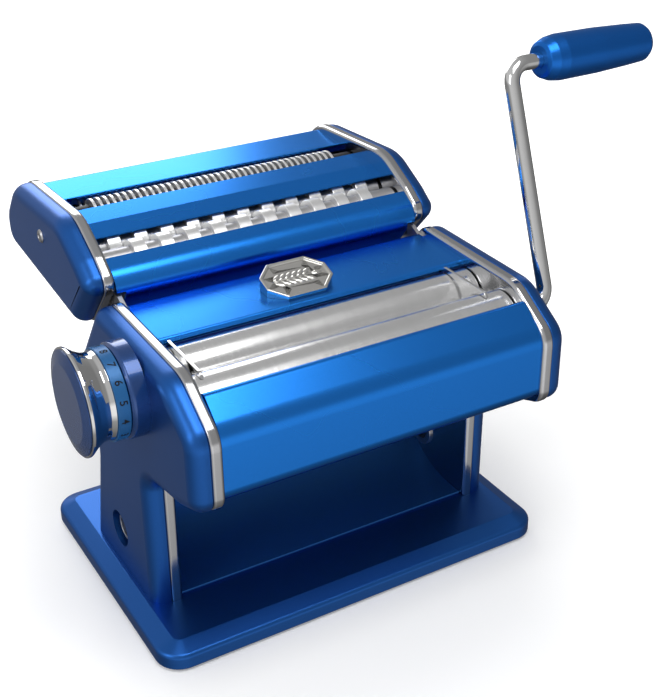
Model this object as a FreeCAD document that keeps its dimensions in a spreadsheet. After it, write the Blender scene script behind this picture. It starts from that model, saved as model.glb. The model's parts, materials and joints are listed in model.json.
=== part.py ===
# Manual pasta roller machine: two smooth rollers for sheeting dough, a ten-step
# thickness knob, a pull-out hand crank and a lift-off cutter unit with a fine and
# a wide pair of cutting rollers.
#
# Frame: millimetres, X to the right (crank side), Y to the back, Z up.  The origin
# is the centre of the base on the surface that the four feet stand on.
import FreeCAD, Part
import Sketcher
import math
import os

# ------------------------------------------------------------------ driving sizes
SIZES = {
    # base
    "base_long": 200.0,
    "base_deep": 140.0,
    "base_corner": 12.0,
    "base_low": 1.2,
    "base_tall": 10.3,
    "shoulder_in": 8.0,
    "shoulder_drop": 3.2,
    "base_wall": 1.7,
    "foot_radius": 7.5,
    # side frames and covers
    "frame_inner": 76.8,
    "flange_wide": 5.2,
    "flange_thick": 2.4,
    "web_thick": 2.0,
    "cover_deep": 8.4,
    "cover_inset": 0.5,
    "cover_round": 6.6,
    "cover_wall": 1.4,
    "cap_round": 7.2,
    "sheet_gauge": 1.2,
    # smooth rollers
    "roller_radius": 12.5,
    "roller_reach": 76.3,
    "journal_radius": 5.0,
    "guard_right": 65.0,
    "guard_left": 71.0,
    "guard_gauge": 1.4,
    # cutting rollers
    "ridge_radius": 9.2,
    "groove_radius": 6.5,
    "cutter_reach": 75.8,
    "cutter_journal": 4.0,
    "wide_strip": 6.5,
    "fine_strip": 1.625,
    "ridge_play": 0.1,
    # gears
    "gear_wide": 3.2,
    # crank and knob
    "rod_radius": 3.5,
    "arm_reach": 107.6,
    "knob_radius": 22.9,
    "bezel_radius": 20.5,
    "ring_radius": 19.6,
    # fasteners
    "tie_radius": 3.0,
    "thread_radius": 2.0,
    "screw_radius": 1.5,
    # clamp sockets
    "clamp_bore": 5.0,
    "clamp_hole": 8.8,
}

ROLLER_Z = 123.0                 # height of both smooth rollers' axes
FRONT_Y = -59.5                  # driven roller, fixed, on the crank's axis
REAR_Y = -32.5                   # adjustable roller, on the knob's axis at rest
TRAVEL_IN = 1.4                  # rear roller's travel towards the front roller
TRAVEL_OUT = 2.8                 # and away from it
CLAMP_YZ = (-1.0, 32.0)
BASE_TOP = SIZES["base_low"] + SIZES["base_tall"]
CRANK_LEAN = -20.7               # degrees, the arm leans back from vertical
CRANK_X = 102.0

HOOK_PINS = [(19.0, 137.0), (30.0, 124.5)]   # where the cutter unit hangs on the machine
WIDE_FRONT = (32.2, 147.2)       # axes of the four cutting rollers (y, z)
WIDE_REAR = (48.4, 147.2)
FINE_FRONT = (72.0, 153.4)
FINE_REAR = (87.4, 148.4)

# Side profile of the head and leg, (y, z, corner radius)
FRAME_OUTLINE = [
    (-38.0, BASE_TOP, 0.0), (-38.0, 79.5, 9.0), (-72.0, 86.0, 16.0), (-89.8, 92.5, 8.0),
    (-89.3, 125.7, 12.0), (-64.2, 141.6, 22.0), (6.5, 142.4, 8.0), (29.0, 113.0, 12.0),
    (38.0, 101.0, 8.0), (21.5, 66.0, 14.0), (35.0, BASE_TOP, 0.0),
]
# Side profile of the cutter unit
CUTTER_OUTLINE = [
    (33.0, 120.8, 7.0), (8.6, 147.5, 7.0), (22.0, 157.2, 14.0), (43.2, 168.6, 26.0), (108.0, 165.3, 22.0),
    (124.5, 146.0, 16.0), (123.5, 128.0, 11.0),
]

doc = FreeCAD.newDocument("pasta_roller_machine")
sheet = doc.addObject("Spreadsheet::Sheet", "Sizes")
for row, (alias, value) in enumerate(SIZES.items(), start=1):
    sheet.set("A%d" % row, alias)
    sheet.set("B%d" % row, str(value))
    sheet.setAlias("B%d" % row, alias)
doc.recompute()

NODES = []


# ------------------------------------------------------------------------ helpers
def size(alias):
    """Number held by the sizes sheet under this alias."""
    return float(sheet.get(alias))


def node(obj, label):
    """Name a finished sub-part and put it on the list to be written."""
    obj.Label = label
    NODES.append(obj)
    return obj


def at(y, z, x=0.0):
    return FreeCAD.Placement(FreeCAD.Vector(x, y, z), FreeCAD.Rotation())


def origin_plane(body, role):
    return [f for f in body.Origin.OriginFeatures if f.Role == role][0]


def new_sketch(body, role, name):
    sketch = body.newObject("Sketcher::SketchObject", name)
    sketch.AttachmentSupport = (origin_plane(body, role), [""])
    sketch.MapMode = "FlatFace"
    return sketch


def pinned_polyline(sketch, points):
    """Closed polyline whose corners are all dimensioned; a corner's coordinate is
    a number, or the alias of a cell, optionally with a leading minus sign."""
    numbers = [[size(c.lstrip("-")) * (-1 if c[0] == "-" else 1) if isinstance(c, str) else c for c in p]
               for p in points]
    count = len(points)
    for i, (a, b) in enumerate(numbers):
        c, d = numbers[(i + 1) % count]
        sketch.addGeometry(Part.LineSegment(FreeCAD.Vector(a, b, 0), FreeCAD.Vector(c, d, 0)), False)
    for i in range(count):
        sketch.addConstraint(Sketcher.Constraint("Coincident", i, 2, (i + 1) % count, 1))
    for i, point in enumerate(points):
        for kind, value, text in (("DistanceX", numbers[i][0], point[0]), ("DistanceY", numbers[i][1], point[1])):
            index = sketch.addConstraint(Sketcher.Constraint(kind, -1, 1, i, 1, value))
            if isinstance(text, str):
                sketch.setExpression("Constraints[%d]" % index, text.replace("-", "-Sizes.")
                                     if text[0] == "-" else "Sizes." + text)


def turned(name, points, y=0.0, z=0.0, x=0.0):
    """Body turned about X: points are (x, radius) round one half section."""
    body = doc.addObject("PartDesign::Body", name)
    sketch = new_sketch(body, "XY_Plane", name + "_section")
    pinned_polyline(sketch, points)
    turn = body.newObject("PartDesign::Revolution", name + "_turn")
    turn.Profile = sketch
    turn.ReferenceAxis = (sketch, ["H_Axis"])
    turn.Angle = 360.0
    body.Placement = at(y, z, x)
    return body


def rounded(points):
    """Lines and tangent arcs through corner points (a, b, radius), closed."""
    pieces = []
    count = len(points)
    ends = []
    for i in range(count):
        before, here, after = points[i - 1], points[i], points[(i + 1) % count]
        corner = FreeCAD.Vector(here[0], here[1], 0)
        u = (FreeCAD.Vector(before[0], before[1], 0) - corner).normalize()
        v = (FreeCAD.Vector(after[0], after[1], 0) - corner).normalize()
        if here[2] <= 0:
            ends.append((corner, corner, None))
            continue
        half = u.getAngle(v) / 2
        reach = here[2] / math.tan(half)
        middle = corner + (u + v).normalize() * (here[2] / math.sin(half) - here[2])
        start = corner + u * reach
        stop = corner + v * reach
        ends.append((start, stop, Part.Arc(start, middle, stop)))
    for i in range(count):
        if ends[i][2] is not None:
            pieces.append(ends[i][2])
        start, stop = ends[i][1], ends[(i + 1) % count][0]
        if (stop - start).Length > 1e-6:
            pieces.append(Part.LineSegment(start, stop))
    return pieces


def outline_sketch(name, points):
    """Free-standing sketch in the YZ plane with a rounded closed outline."""
    sketch = doc.addObject("Sketcher::SketchObject", name)
    sketch.Placement = FreeCAD.Placement(FreeCAD.Vector(), FreeCAD.Rotation(FreeCAD.Vector(1, 1, 1), 120))
    sketch.addGeometry(rounded(points), False)
    doc.recompute()
    return sketch


def offset(name, source, expression):
    """Outline moved in (negative) or out by an expression of the sizes."""
    result = doc.addObject("Part::Offset2D", name)
    result.Source = source
    result.Mode = "Pipe"
    result.Join = "Arc"
    result.setExpression("Value", expression)
    return result


def extrude(name, source, length_expression, x_expression="0 mm"):
    """Solid drawn along +X from an outline in the YZ plane."""
    result = doc.addObject("Part::Extrusion", name)
    result.Base = source
    result.DirMode = "Custom"
    result.Dir = FreeCAD.Vector(1, 0, 0)
    result.setExpression("LengthFwd", length_expression)
    result.Solid = True
    result.setExpression(".Placement.Base.x", x_expression)
    return result


def cylinder(name, radius_expression, length_expression, y, z, x_expression):
    """Cylinder along +X."""
    result = doc.addObject("Part::Cylinder", name)
    result.setExpression("Radius", radius_expression)
    result.setExpression("Height", length_expression)
    result.Placement = FreeCAD.Placement(FreeCAD.Vector(0, y, z), FreeCAD.Rotation(FreeCAD.Vector(0, 1, 0), 90))
    result.setExpression(".Placement.Base.x", x_expression)
    return result


def block(name, lengths, corner):
    result = doc.addObject("Part::Box", name)
    result.Length, result.Width, result.Height = lengths
    result.Placement = FreeCAD.Placement(FreeCAD.Vector(*corner), FreeCAD.Rotation())
    return result


def cut(name, base, *tools):
    tool = tools[0] if len(tools) == 1 else fuse(name + "_tools", *tools)
    result = doc.addObject("Part::Cut", name)
    result.Base = base
    result.Tool = tool
    return result


def fuse(name, *pieces):
    result = doc.addObject("Part::MultiFuse", name)
    result.Shapes = list(pieces)
    return result


def group(name, pieces):
    """Identical separate solids kept as one node."""
    result = doc.addObject("Part::Compound", name)
    result.Links = list(pieces)
    return result


def round_end(name, base, radius_expression, at_high_x=True):
    """Fillet every edge that lies in the end face at the highest X."""
    doc.recompute()
    limit = base.Shape.BoundBox.XMax if at_high_x else base.Shape.BoundBox.XMin
    edges = [i for i, e in enumerate(base.Shape.Edges, start=1)
             if abs(e.BoundBox.XMin - limit) < 1e-4 and abs(e.BoundBox.XMax - limit) < 1e-4]
    result = doc.addObject("Part::Fillet", name)
    result.Base = base
    radius = float(sheet.get(radius_expression))
    result.Edges = [(i, radius, radius) for i in edges]
    return result


def mirrored(name, source):
    """Left-hand twin of a right-hand piece."""
    result = doc.addObject("Part::Mirroring", name)
    result.Source = source
    result.Normal = FreeCAD.Vector(1, 0, 0)
    return result


def strip(name, points, half_expression, gauge_alias="sheet_gauge"):
    """Bent sheet across the machine: points are the (y, z, bend radius) of its
    outer line, and the sheet lies on that line's right-hand side."""
    gauge = size(gauge_alias)
    inner = []
    for i in range(len(points) - 1, -1, -1):
        here = FreeCAD.Vector(points[i][0], points[i][1], 0)
        normals = []
        for j in (i - 1, i):
            if 0 <= j < len(points) - 1:
                along = FreeCAD.Vector(points[j + 1][0] - points[j][0], points[j + 1][1] - points[j][1], 0)
                normals.append(FreeCAD.Vector(along.y, -along.x, 0).normalize())
        total = sum(normals, FreeCAD.Vector())
        shift = total * (gauge * 2 / total.dot(total)) if len(normals) == 2 else normals[0] * gauge
        turn = normals[0].cross(normals[-1]).z
        radius = points[i][2] + (gauge if turn > 0 else -gauge)
        inner.append((here.x + shift.x, here.y + shift.y, max(radius, 0.0) if points[i][2] else 0.0))
    sketch = outline_sketch(name + "_line", list(points) + inner)
    return extrude(name, sketch, "2 * (" + half_expression + ")", "-(" + half_expression + ")")


def gear_outline(teeth, root, tip, root_half, tip_half, phase):
    """Straight-flanked teeth round a hub, in the YZ plane about the origin."""
    points = []
    for k in range(teeth):
        centre = phase + k * 2 * math.pi / teeth
        for radius, half in ((root, root_half), (tip, tip_half), (tip, -tip_half), (root, -root_half)):
            turn = centre - math.asin(half / radius)
            points.append((radius * math.cos(turn), radius * math.sin(turn), 0.0))
    return points


def gear(name, teeth, root, tip, root_half, tip_half, phase, bore_expression, y, z, x_expression):
    sketch = outline_sketch(name + "_teeth", gear_outline(teeth, root, tip, root_half, tip_half, phase))
    blank = extrude(name + "_blank", sketch, "Sizes.gear_wide")
    hole = cylinder(name + "_bore", bore_expression, "Sizes.gear_wide", 0, 0, "0 mm")
    result = cut(name, blank, hole)
    result.Placement = at(y, z)
    result.setExpression(".Placement.Base.x", x_expression)
    return result


# ------------------------------------------------------------------------ the base
def make_base():
    body = doc.addObject("PartDesign::Body", "base_pan")
    long_half, deep_half = size("base_long") / 2, size("base_deep") / 2

    def rectangle(name, inset):
        corner = max(size("base_corner") - inset, 1.0)
        sketch = new_sketch(body, "XY_Plane", name)
        sketch.addGeometry(rounded([(sx * (long_half - inset), sy * (deep_half - inset), corner)
                                    for sx, sy in ((-1, -1), (1, -1), (1, 1), (-1, 1))]), False)
        return sketch

    pad = body.newObject("PartDesign::Pad", "base_pad")
    pad.Profile = rectangle("base_outline", 0.0)
    pad.setExpression("Length", "Sizes.base_tall")
    doc.recompute()
    top = size("base_tall")
    edges = ["Edge%d" % i for i, e in enumerate(pad.Shape.Edges, start=1)
             if abs(e.BoundBox.ZMin - top) < 1e-4 and abs(e.BoundBox.ZMax - top) < 1e-4]
    shoulder = body.newObject("PartDesign::Chamfer", "base_shoulder")
    shoulder.Base = (pad, edges)
    shoulder.ChamferType = "Two distances"
    shoulder.setExpression("Size", "Sizes.shoulder_drop")
    shoulder.setExpression("Size2", "Sizes.shoulder_in")
    doc.recompute()
    if abs(shoulder.Shape.BoundBox.XLength - size("base_long")) > 1e-3:
        raise RuntimeError("the base's shoulder changed its length")
    flat = [f for f in shoulder.Shape.Faces if abs(f.BoundBox.ZMin - top) < 1e-4][0]
    if flat.BoundBox.XLength > size("base_long") - 2 * size("shoulder_in") + 1e-3:
        shoulder.FlipDirection = True
    for name, inset, rise in (("lower_hollow", 2.0, top - 2 * size("shoulder_drop")),
                              ("upper_hollow", 10.0, top - size("base_wall"))):
        hollow = body.newObject("PartDesign::Pocket", name)
        hollow.Profile = rectangle(name + "_outline", inset)
        hollow.Length = rise
        hollow.Reversed = True
    body.Placement = at(0, 0)
    body.setExpression(".Placement.Base.z", "Sizes.base_low")
    holes = []
    screws = []
    head_low = BASE_TOP - size("base_wall") - 2.0
    for sx in (-1, 1):
        for sy in (-24.0, 22.0):
            x = sx * (size("frame_inner") + size("flange_wide") / 2)
            hole = doc.addObject("Part::Cylinder", "screw_hole")
            hole.setExpression("Radius", "Sizes.screw_radius")
            hole.Height = 12.0
            hole.Placement = at(sy, head_low, x)
            holes.append(hole)
            head = doc.addObject("Part::Cylinder", "screw_head")
            head.Radius = 3.0
            head.Height = 2.0
            head.Placement = at(sy, head_low, x)
            shank = doc.addObject("Part::Cylinder", "screw_shank")
            shank.setExpression("Radius", "Sizes.screw_radius")
            shank.Height = 2.0 + size("base_wall") + size("flange_thick")
            shank.Placement = at(sy, head_low, x)
            screws.append(fuse("base_screw", head, shank))
    node(cut("base_plate_cut", body, *holes), "base_plate")
    node(group("base_screw_set", screws), "base_screws")
    feet = []
    for sx in (-1, 1):
        for sy in (-1, 1):
            foot = doc.addObject("Part::Cone", "foot")
            foot.setExpression("Radius1", "Sizes.foot_radius - 1")
            foot.setExpression("Radius2", "Sizes.foot_radius")
            foot.Height = BASE_TOP - size("base_wall")
            foot.Placement = at(sy * (size("base_deep") / 2 - 19), 0, sx * (size("base_long") / 2 - 19))
            feet.append(foot)
    node(group("foot_set", feet), "rubber_feet")


# ----------------------------------------------------------------- frames and covers
TIE_RODS = [(-77.0, 103.0), (-6.0, 106.0), (-3.0, 128.0)]


def slot(name, width, y_from, y_to, z, x_expression, length_expression):
    """Obround along Y that a round piece of this width may slide in."""
    a = cylinder(name + "_a", "%g mm" % (width / 2), length_expression, y_from, z, x_expression)
    b = cylinder(name + "_b", "%g mm" % (width / 2), length_expression, y_to, z, x_expression)
    middle = block(name + "_m", (1.0, y_to - y_from, width), (0, y_from, z - width / 2))
    middle.setExpression("Length", length_expression)
    middle.setExpression(".Placement.Base.x", x_expression)
    return fuse(name, a, b, middle)


BLOCK_HALF = 7.0                 # the carriage block that holds the rear roller
ROD_Y = -16.0                    # rod that joins the two carriage blocks
FOLLOWER_Y = -21.0               # pin on the left block that rides on the cam


def make_frames():
    line = outline_sketch("frame_line", FRAME_OUTLINE)
    plate = extrude("frame_blank", line, "Sizes.flange_wide", "Sizes.frame_inner")
    recess = extrude("frame_recess", offset("frame_recess_line", line, "-Sizes.flange_thick"),
                     "Sizes.flange_wide", "Sizes.frame_inner + Sizes.web_thick")
    pan = cut("frame_pan", round_end("frame_soft", plate, "web_thick", False), recess)
    past = "Sizes.frame_inner - 1"
    deep = "Sizes.flange_wide + 4"
    tools = [cylinder("bush_hole", "Sizes.journal_radius + 3", deep, FRONT_Y, ROLLER_Z, past),
             cylinder("clamp_way", "Sizes.clamp_bore + 1.4", deep, *CLAMP_YZ, past),
             slot("rod_slot", 5.8, ROD_Y - TRAVEL_IN - 0.3, ROD_Y + TRAVEL_OUT + 0.3, ROLLER_Z, past, deep)]
    window = block("block_window", (10.0, 2 * BLOCK_HALF + TRAVEL_IN + TRAVEL_OUT + 0.8, 2 * BLOCK_HALF + 0.5),
                   (size("frame_inner") - 1, REAR_Y - BLOCK_HALF - TRAVEL_IN - 0.4, ROLLER_Z - BLOCK_HALF - 0.25))
    tools.append(window)
    for y, z in TIE_RODS:
        tools.append(cylinder("tie_hole", "Sizes.thread_radius", deep, y, z, past))
    for y in (-24.0, 22.0):
        hole = doc.addObject("Part::Cylinder", "foot_hole")
        hole.setExpression("Radius", "Sizes.screw_radius")
        hole.Height = 8.0
        hole.Placement = at(y, BASE_TOP - 4, size("frame_inner") + size("flange_wide") / 2)
        tools.append(hole)
    right = node(cut("frame_right_cut", pan, *tools), "side_frame_right")
    node(mirrored("frame_left_twin", right), "side_frame_left")
    return line


def make_cover_shell(name, line, round_alias):
    """Hollow moulded cover on the outer face of a side frame, right-hand."""
    x_start = "Sizes.frame_inner + Sizes.flange_wide"
    outer = extrude(name + "_outer", offset(name + "_line", line, "-Sizes.cover_inset"), "Sizes.cover_deep", x_start)
    soft = round_end(name + "_soft", outer, round_alias)
    inner = extrude(name + "_inner", offset(name + "_inner_line", line, "-Sizes.cover_inset - Sizes.cover_wall"),
                    "Sizes.cover_deep - Sizes.cover_wall", x_start)
    hollow = round_end(name + "_hollow", inner, round_alias)
    hollow.Edges = [(i, a - size("cover_wall"), b - size("cover_wall")) for i, a, b in hollow.Edges]
    return cut(name, soft, hollow)


def make_covers(line):
    shell = make_cover_shell("cover_shell", line, "cover_round")
    past = "Sizes.frame_inner + Sizes.flange_wide"
    deep = "Sizes.cover_deep + 2"
    clamp = cylinder("cover_clamp_hole", "Sizes.clamp_hole", deep, *CLAMP_YZ, past)
    hub = cylinder("cover_crank_hole", "8 mm", deep, FRONT_Y, ROLLER_Z, past)
    node(cut("cover_right_cut", shell, clamp, hub), "side_cover_right")
    knob = cylinder("cover_knob_hole", "9 mm", deep, REAR_Y, ROLLER_Z, past)
    left = cut("cover_left_holes", shell, clamp, knob)
    node(mirrored("cover_left_twin", left), "side_cover_left")


def make_clamp_sockets():
    inner = size("frame_inner")
    points = [(inner - 1.2, "clamp_bore"), (inner - 1.2, 8.2), (inner, 8.2), (inner, 6.4),
              (inner + 11.4, 6.4), (inner + 11.4, "clamp_bore")]
    right = turned("clamp_tube_right", points, *CLAMP_YZ)
    node(group("clamp_pair", [right, mirrored("clamp_tube_left", right)]), "clamp_sockets")


def make_sheets():
    reach = "Sizes.frame_inner"
    hood = [(-70.3, 131.0, 0), (-70.3, 139.4, 3.0), (-87.4, 125.0, 5.0), (-87.7, 95.0, 7.0),
            (-72.0, 88.2, 6.0), (-56.0, 84.8, 0)]
    node(strip("hood_sheet", hood[::-1], reach), "front_hood")
    top = [(-29.0, 136.1, 0), (-29.0, 138.6, 1.3), (6.5, 139.4, 5.0), (26.0, 113.0, 9.0), (33.8, 101.5, 6.0),
           (21.9, 74.8, 0)]
    node(cut("top_sheet_cut", strip("top_sheet", top, reach), BRACKETS), "rear_top_sheet")
    chute = [(-35.0, BASE_TOP + 1.2, 0), (19.4, BASE_TOP + 1.2, 44.0), (19.4, 108.0, 0)]
    node(strip("chute_sheet", chute, reach), "pasta_chute")


BADGE_LEAN = 18.0                # degrees, the plaque faces a little forwards
BADGE_PLACE = (-3.5, -14.4, 142.5)


def make_badge():
    """Eight-sided plaque on a wedge-shaped foot that stands on the rear sheet."""
    body = doc.addObject("PartDesign::Body", "plaque")
    sketch = new_sketch(body, "XY_Plane", "plaque_outline")
    half, deep, chop = 16.5, 11.0, 7.0
    corners = [(-half, -deep + chop), (-half + chop, -deep), (half - chop, -deep), (half, -deep + chop),
               (half, deep - chop), (half - chop, deep), (-half + chop, deep), (-half, deep - chop)]
    pinned_polyline(sketch, corners)
    pad = body.newObject("PartDesign::Pad", "plaque_pad")
    pad.Profile = sketch
    pad.Length = 2.0
    foot = body.newObject("PartDesign::Pad", "plaque_foot")
    foot.Profile = sketch
    foot.Length = 9.0
    foot.Reversed = True
    body.Placement = FreeCAD.Placement(FreeCAD.Vector(*BADGE_PLACE),
                                       FreeCAD.Rotation(FreeCAD.Vector(1, 0, 0), BADGE_LEAN))
    under = block("plaque_under", (60.0, 60.0, 20.0), (-30.0, -30.0, -20.0))
    rise = math.degrees(math.atan2(139.4 - 138.6, 6.5 + 29.0))
    under.Placement = FreeCAD.Placement(FreeCAD.Vector(0, -29.0, 138.6), FreeCAD.Rotation(
        FreeCAD.Vector(1, 0, 0), rise)).multiply(FreeCAD.Placement(FreeCAD.Vector(-30, -30, -20), FreeCAD.Rotation()))
    node(cut("plaque_cut", body, under), "badge_plaque")


def make_guards():
    """Upright plates that keep the dough between them, cut round both rollers."""
    points = [(-62.0, ROLLER_Z, 0), (-62.0, 137.9, 3.0), (-29.0, 137.9, 0), (-29.0, ROLLER_Z, 0)]
    line = outline_sketch("guard_line", points)
    clear = size("roller_radius") + 0.4
    plates = []
    for side, alias in (("right", "guard_right"), ("left", "guard_left")):
        blank = extrude("guard_blank_" + side, line, "Sizes.guard_gauge", "Sizes." + alias)
        past = "Sizes.%s - 1" % alias
        front = cylinder("guard_front_way", "%g mm" % clear, "6 mm", FRONT_Y, ROLLER_Z, past)
        rear = slot("guard_rear_way", 2 * clear, REAR_Y - TRAVEL_IN, REAR_Y + TRAVEL_OUT, ROLLER_Z, past, "6 mm")
        plate = cut("guard_cut_" + side, blank, front, rear)
        plates.append(mirrored("guard_twin", plate) if side == "left" else plate)
    node(group("guard_pair", plates), "dough_guards")


def make_scrapers():
    """Blades that strip the dough off the underside of each roller."""
    low = ROLLER_Z - size("roller_radius") - 0.5
    front = [(-70.0, 98.0, 0), (-70.0, low - 5, 2.0), (FRONT_Y + 2.0, low, 0)]
    rear = [(REAR_Y - 2.0, low, 0), (-18.0, low - 5, 2.0), (-18.0, 98.0, 0)]
    blades = [strip("front_blade", front, "Sizes.frame_inner"), strip("rear_blade", rear, "Sizes.frame_inner")]
    node(group("blade_pair", blades), "roller_scrapers")


def make_ties(prefix, places, label, reach_alias="frame_inner"):
    """Cross rods with reduced ends that pass through the side frames, and nuts."""
    inner = size(reach_alias)
    end = inner + size("web_thick") + 2.6
    rods, nuts = [], []
    for y, z in places:
        rods.append(turned(prefix + "_rod", [
            (-end, 0), (-end, "thread_radius"), (-inner, "thread_radius"), (-inner, "tie_radius"),
            (inner, "tie_radius"), (inner, "thread_radius"), (end, "thread_radius"), (end, 0)], y, z))
        for side in (-1, 1):
            hexagon = [(3.9 * math.cos(math.radians(60 * k)), 3.9 * math.sin(math.radians(60 * k)), 0.0)
                       for k in range(6)]
            sketch = outline_sketch(prefix + "_nut_line", hexagon)
            blank = extrude(prefix + "_nut_blank", sketch, "2.4 mm")
            hole = cylinder(prefix + "_nut_hole", "Sizes.thread_radius", "2.4 mm", 0, 0, "0 mm")
            nut = cut(prefix + "_nut", blank, hole)
            start = inner + size("web_thick")
            nut.Placement = at(y, z, start if side > 0 else -start - 2.4)
            nuts.append(nut)
    node(group(prefix + "_rods", rods), label + "_rods")
    node(group(prefix + "_nuts", nuts), label + "_nuts")


# ------------------------------------------------------------------ smooth rollers
SOCKET_END = 93.4                # right-hand end of the drive socket
CUTTER_SOCKET_END = 90.2         # and of the cutting rollers' sockets
GEAR_X = 82.2                    # left face of the gears
GEAR_TEETH = 10
GEAR_SHAPE = (9.7, 15.4, 1.6, 0.7)


def make_front_roller():
    reach, journal = size("roller_reach"), size("journal_radius")
    stub = 78.9
    gear_end = GEAR_X + size("gear_wide")
    bore = size("rod_radius") + 0.05
    floor_x = 78.4
    points = [(-stub, 0), (-stub, "journal_radius"), ("-roller_reach", "journal_radius"),
              ("-roller_reach", "roller_radius"), ("roller_reach", "roller_radius"),
              ("roller_reach", "journal_radius"), (gear_end, "journal_radius"), (gear_end, bore),
              (floor_x, bore), (floor_x, 0)]
    node(turned("front_roller_body", points, FRONT_Y, ROLLER_Z), "front_roller")
    hub = turned("socket_tube", [(gear_end, bore), (gear_end, 7.0), (SOCKET_END, 7.0), (SOCKET_END, bore)],
                 FRONT_Y, ROLLER_Z)
    notch = block("socket_notch", (4.0, 2.6, 20.0), (SOCKET_END - 3.6, FRONT_Y - 1.3, ROLLER_Z - 10))
    notch.Placement = FreeCAD.Placement(
        FreeCAD.Vector(SOCKET_END - 3.6, FRONT_Y, ROLLER_Z),
        FreeCAD.Rotation(FreeCAD.Vector(1, 0, 0), CRANK_LEAN)).multiply(at(-1.3, -10))
    node(cut("socket_cut", hub, notch), "crank_socket")
    node(gear("drive_gear_cut", GEAR_TEETH, *GEAR_SHAPE, 0.0, "Sizes.journal_radius", FRONT_Y, ROLLER_Z,
              "%g mm" % GEAR_X), "drive_gear")
    bushes = []
    for side in (-1, 1):
        start = size("frame_inner") if side > 0 else -size("frame_inner") - 2.4
        bush = turned("front_bush", [(0, journal + 0.05), (0, 8.0), (2.4, 8.0), (2.4, journal + 0.05)],
                      FRONT_Y, ROLLER_Z, start)
        bushes.append(bush)
    node(group("front_bushes", bushes), "front_roller_bushes")


def make_rear_roller():
    journal = size("journal_radius")
    gear_end = GEAR_X + size("gear_wide")
    points = [(-81.4, 0), (-81.4, "journal_radius"), ("-roller_reach", "journal_radius"),
              ("-roller_reach", "roller_radius"), ("roller_reach", "roller_radius"),
              ("roller_reach", "journal_radius"), (gear_end, "journal_radius"), (gear_end, 0)]
    node(turned("rear_roller_body", points, REAR_Y, ROLLER_Z), "rear_roller")
    node(gear("driven_gear_cut", GEAR_TEETH, *GEAR_SHAPE, math.pi + math.pi / GEAR_TEETH, "Sizes.journal_radius",
              REAR_Y, ROLLER_Z, "%g mm" % GEAR_X), "driven_gear")
    for label, side in (("right", 1), ("left", -1)):
        inner, thick = 77.0, 4.6
        solid = block("carriage_block", (thick, 2 * BLOCK_HALF, 2 * BLOCK_HALF),
                      (inner, REAR_Y - BLOCK_HALF, ROLLER_Z - BLOCK_HALF))
        arm = block("carriage_arm", (2.4, ROD_Y + 5 - REAR_Y, 10.0), (79.2, REAR_Y, ROLLER_Z - 5))
        bore = cylinder("carriage_bore", "Sizes.journal_radius + 0.05", "8 mm", REAR_Y, ROLLER_Z, "75 mm")
        hole = cylinder("carriage_rod_hole", "2.5 mm", "6.6 mm", ROD_Y, ROLLER_Z, "75 mm")
        pieces = [solid, arm]
        if side < 0:
            pieces.append(cylinder("cam_follower", "2 mm", "5.6 mm", FOLLOWER_Y, ROLLER_Z, "80.6 mm"))
        made = cut("carriage_" + label, fuse("carriage_plate", *pieces), bore, hole)
        if side < 0:
            made = mirrored("carriage_left_twin", made)
        node(made, "carriage_block_" + label)
    node(turned("carriage_bar", [(-81.6, 0), (-81.6, 2.5), (81.6, 2.5), (81.6, 0)], ROD_Y, ROLLER_Z), "carriage_rod")


# -------------------------------------------------------------------- knob and crank
STEP_ANGLE = 24.0                # one thickness setting
STEP_TRAVEL = 4.2 / 9
CAM_X = (-86.2, -82.8)
CAM_SETTINGS = (-3, 6)           # settings either side of the one at rest


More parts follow.
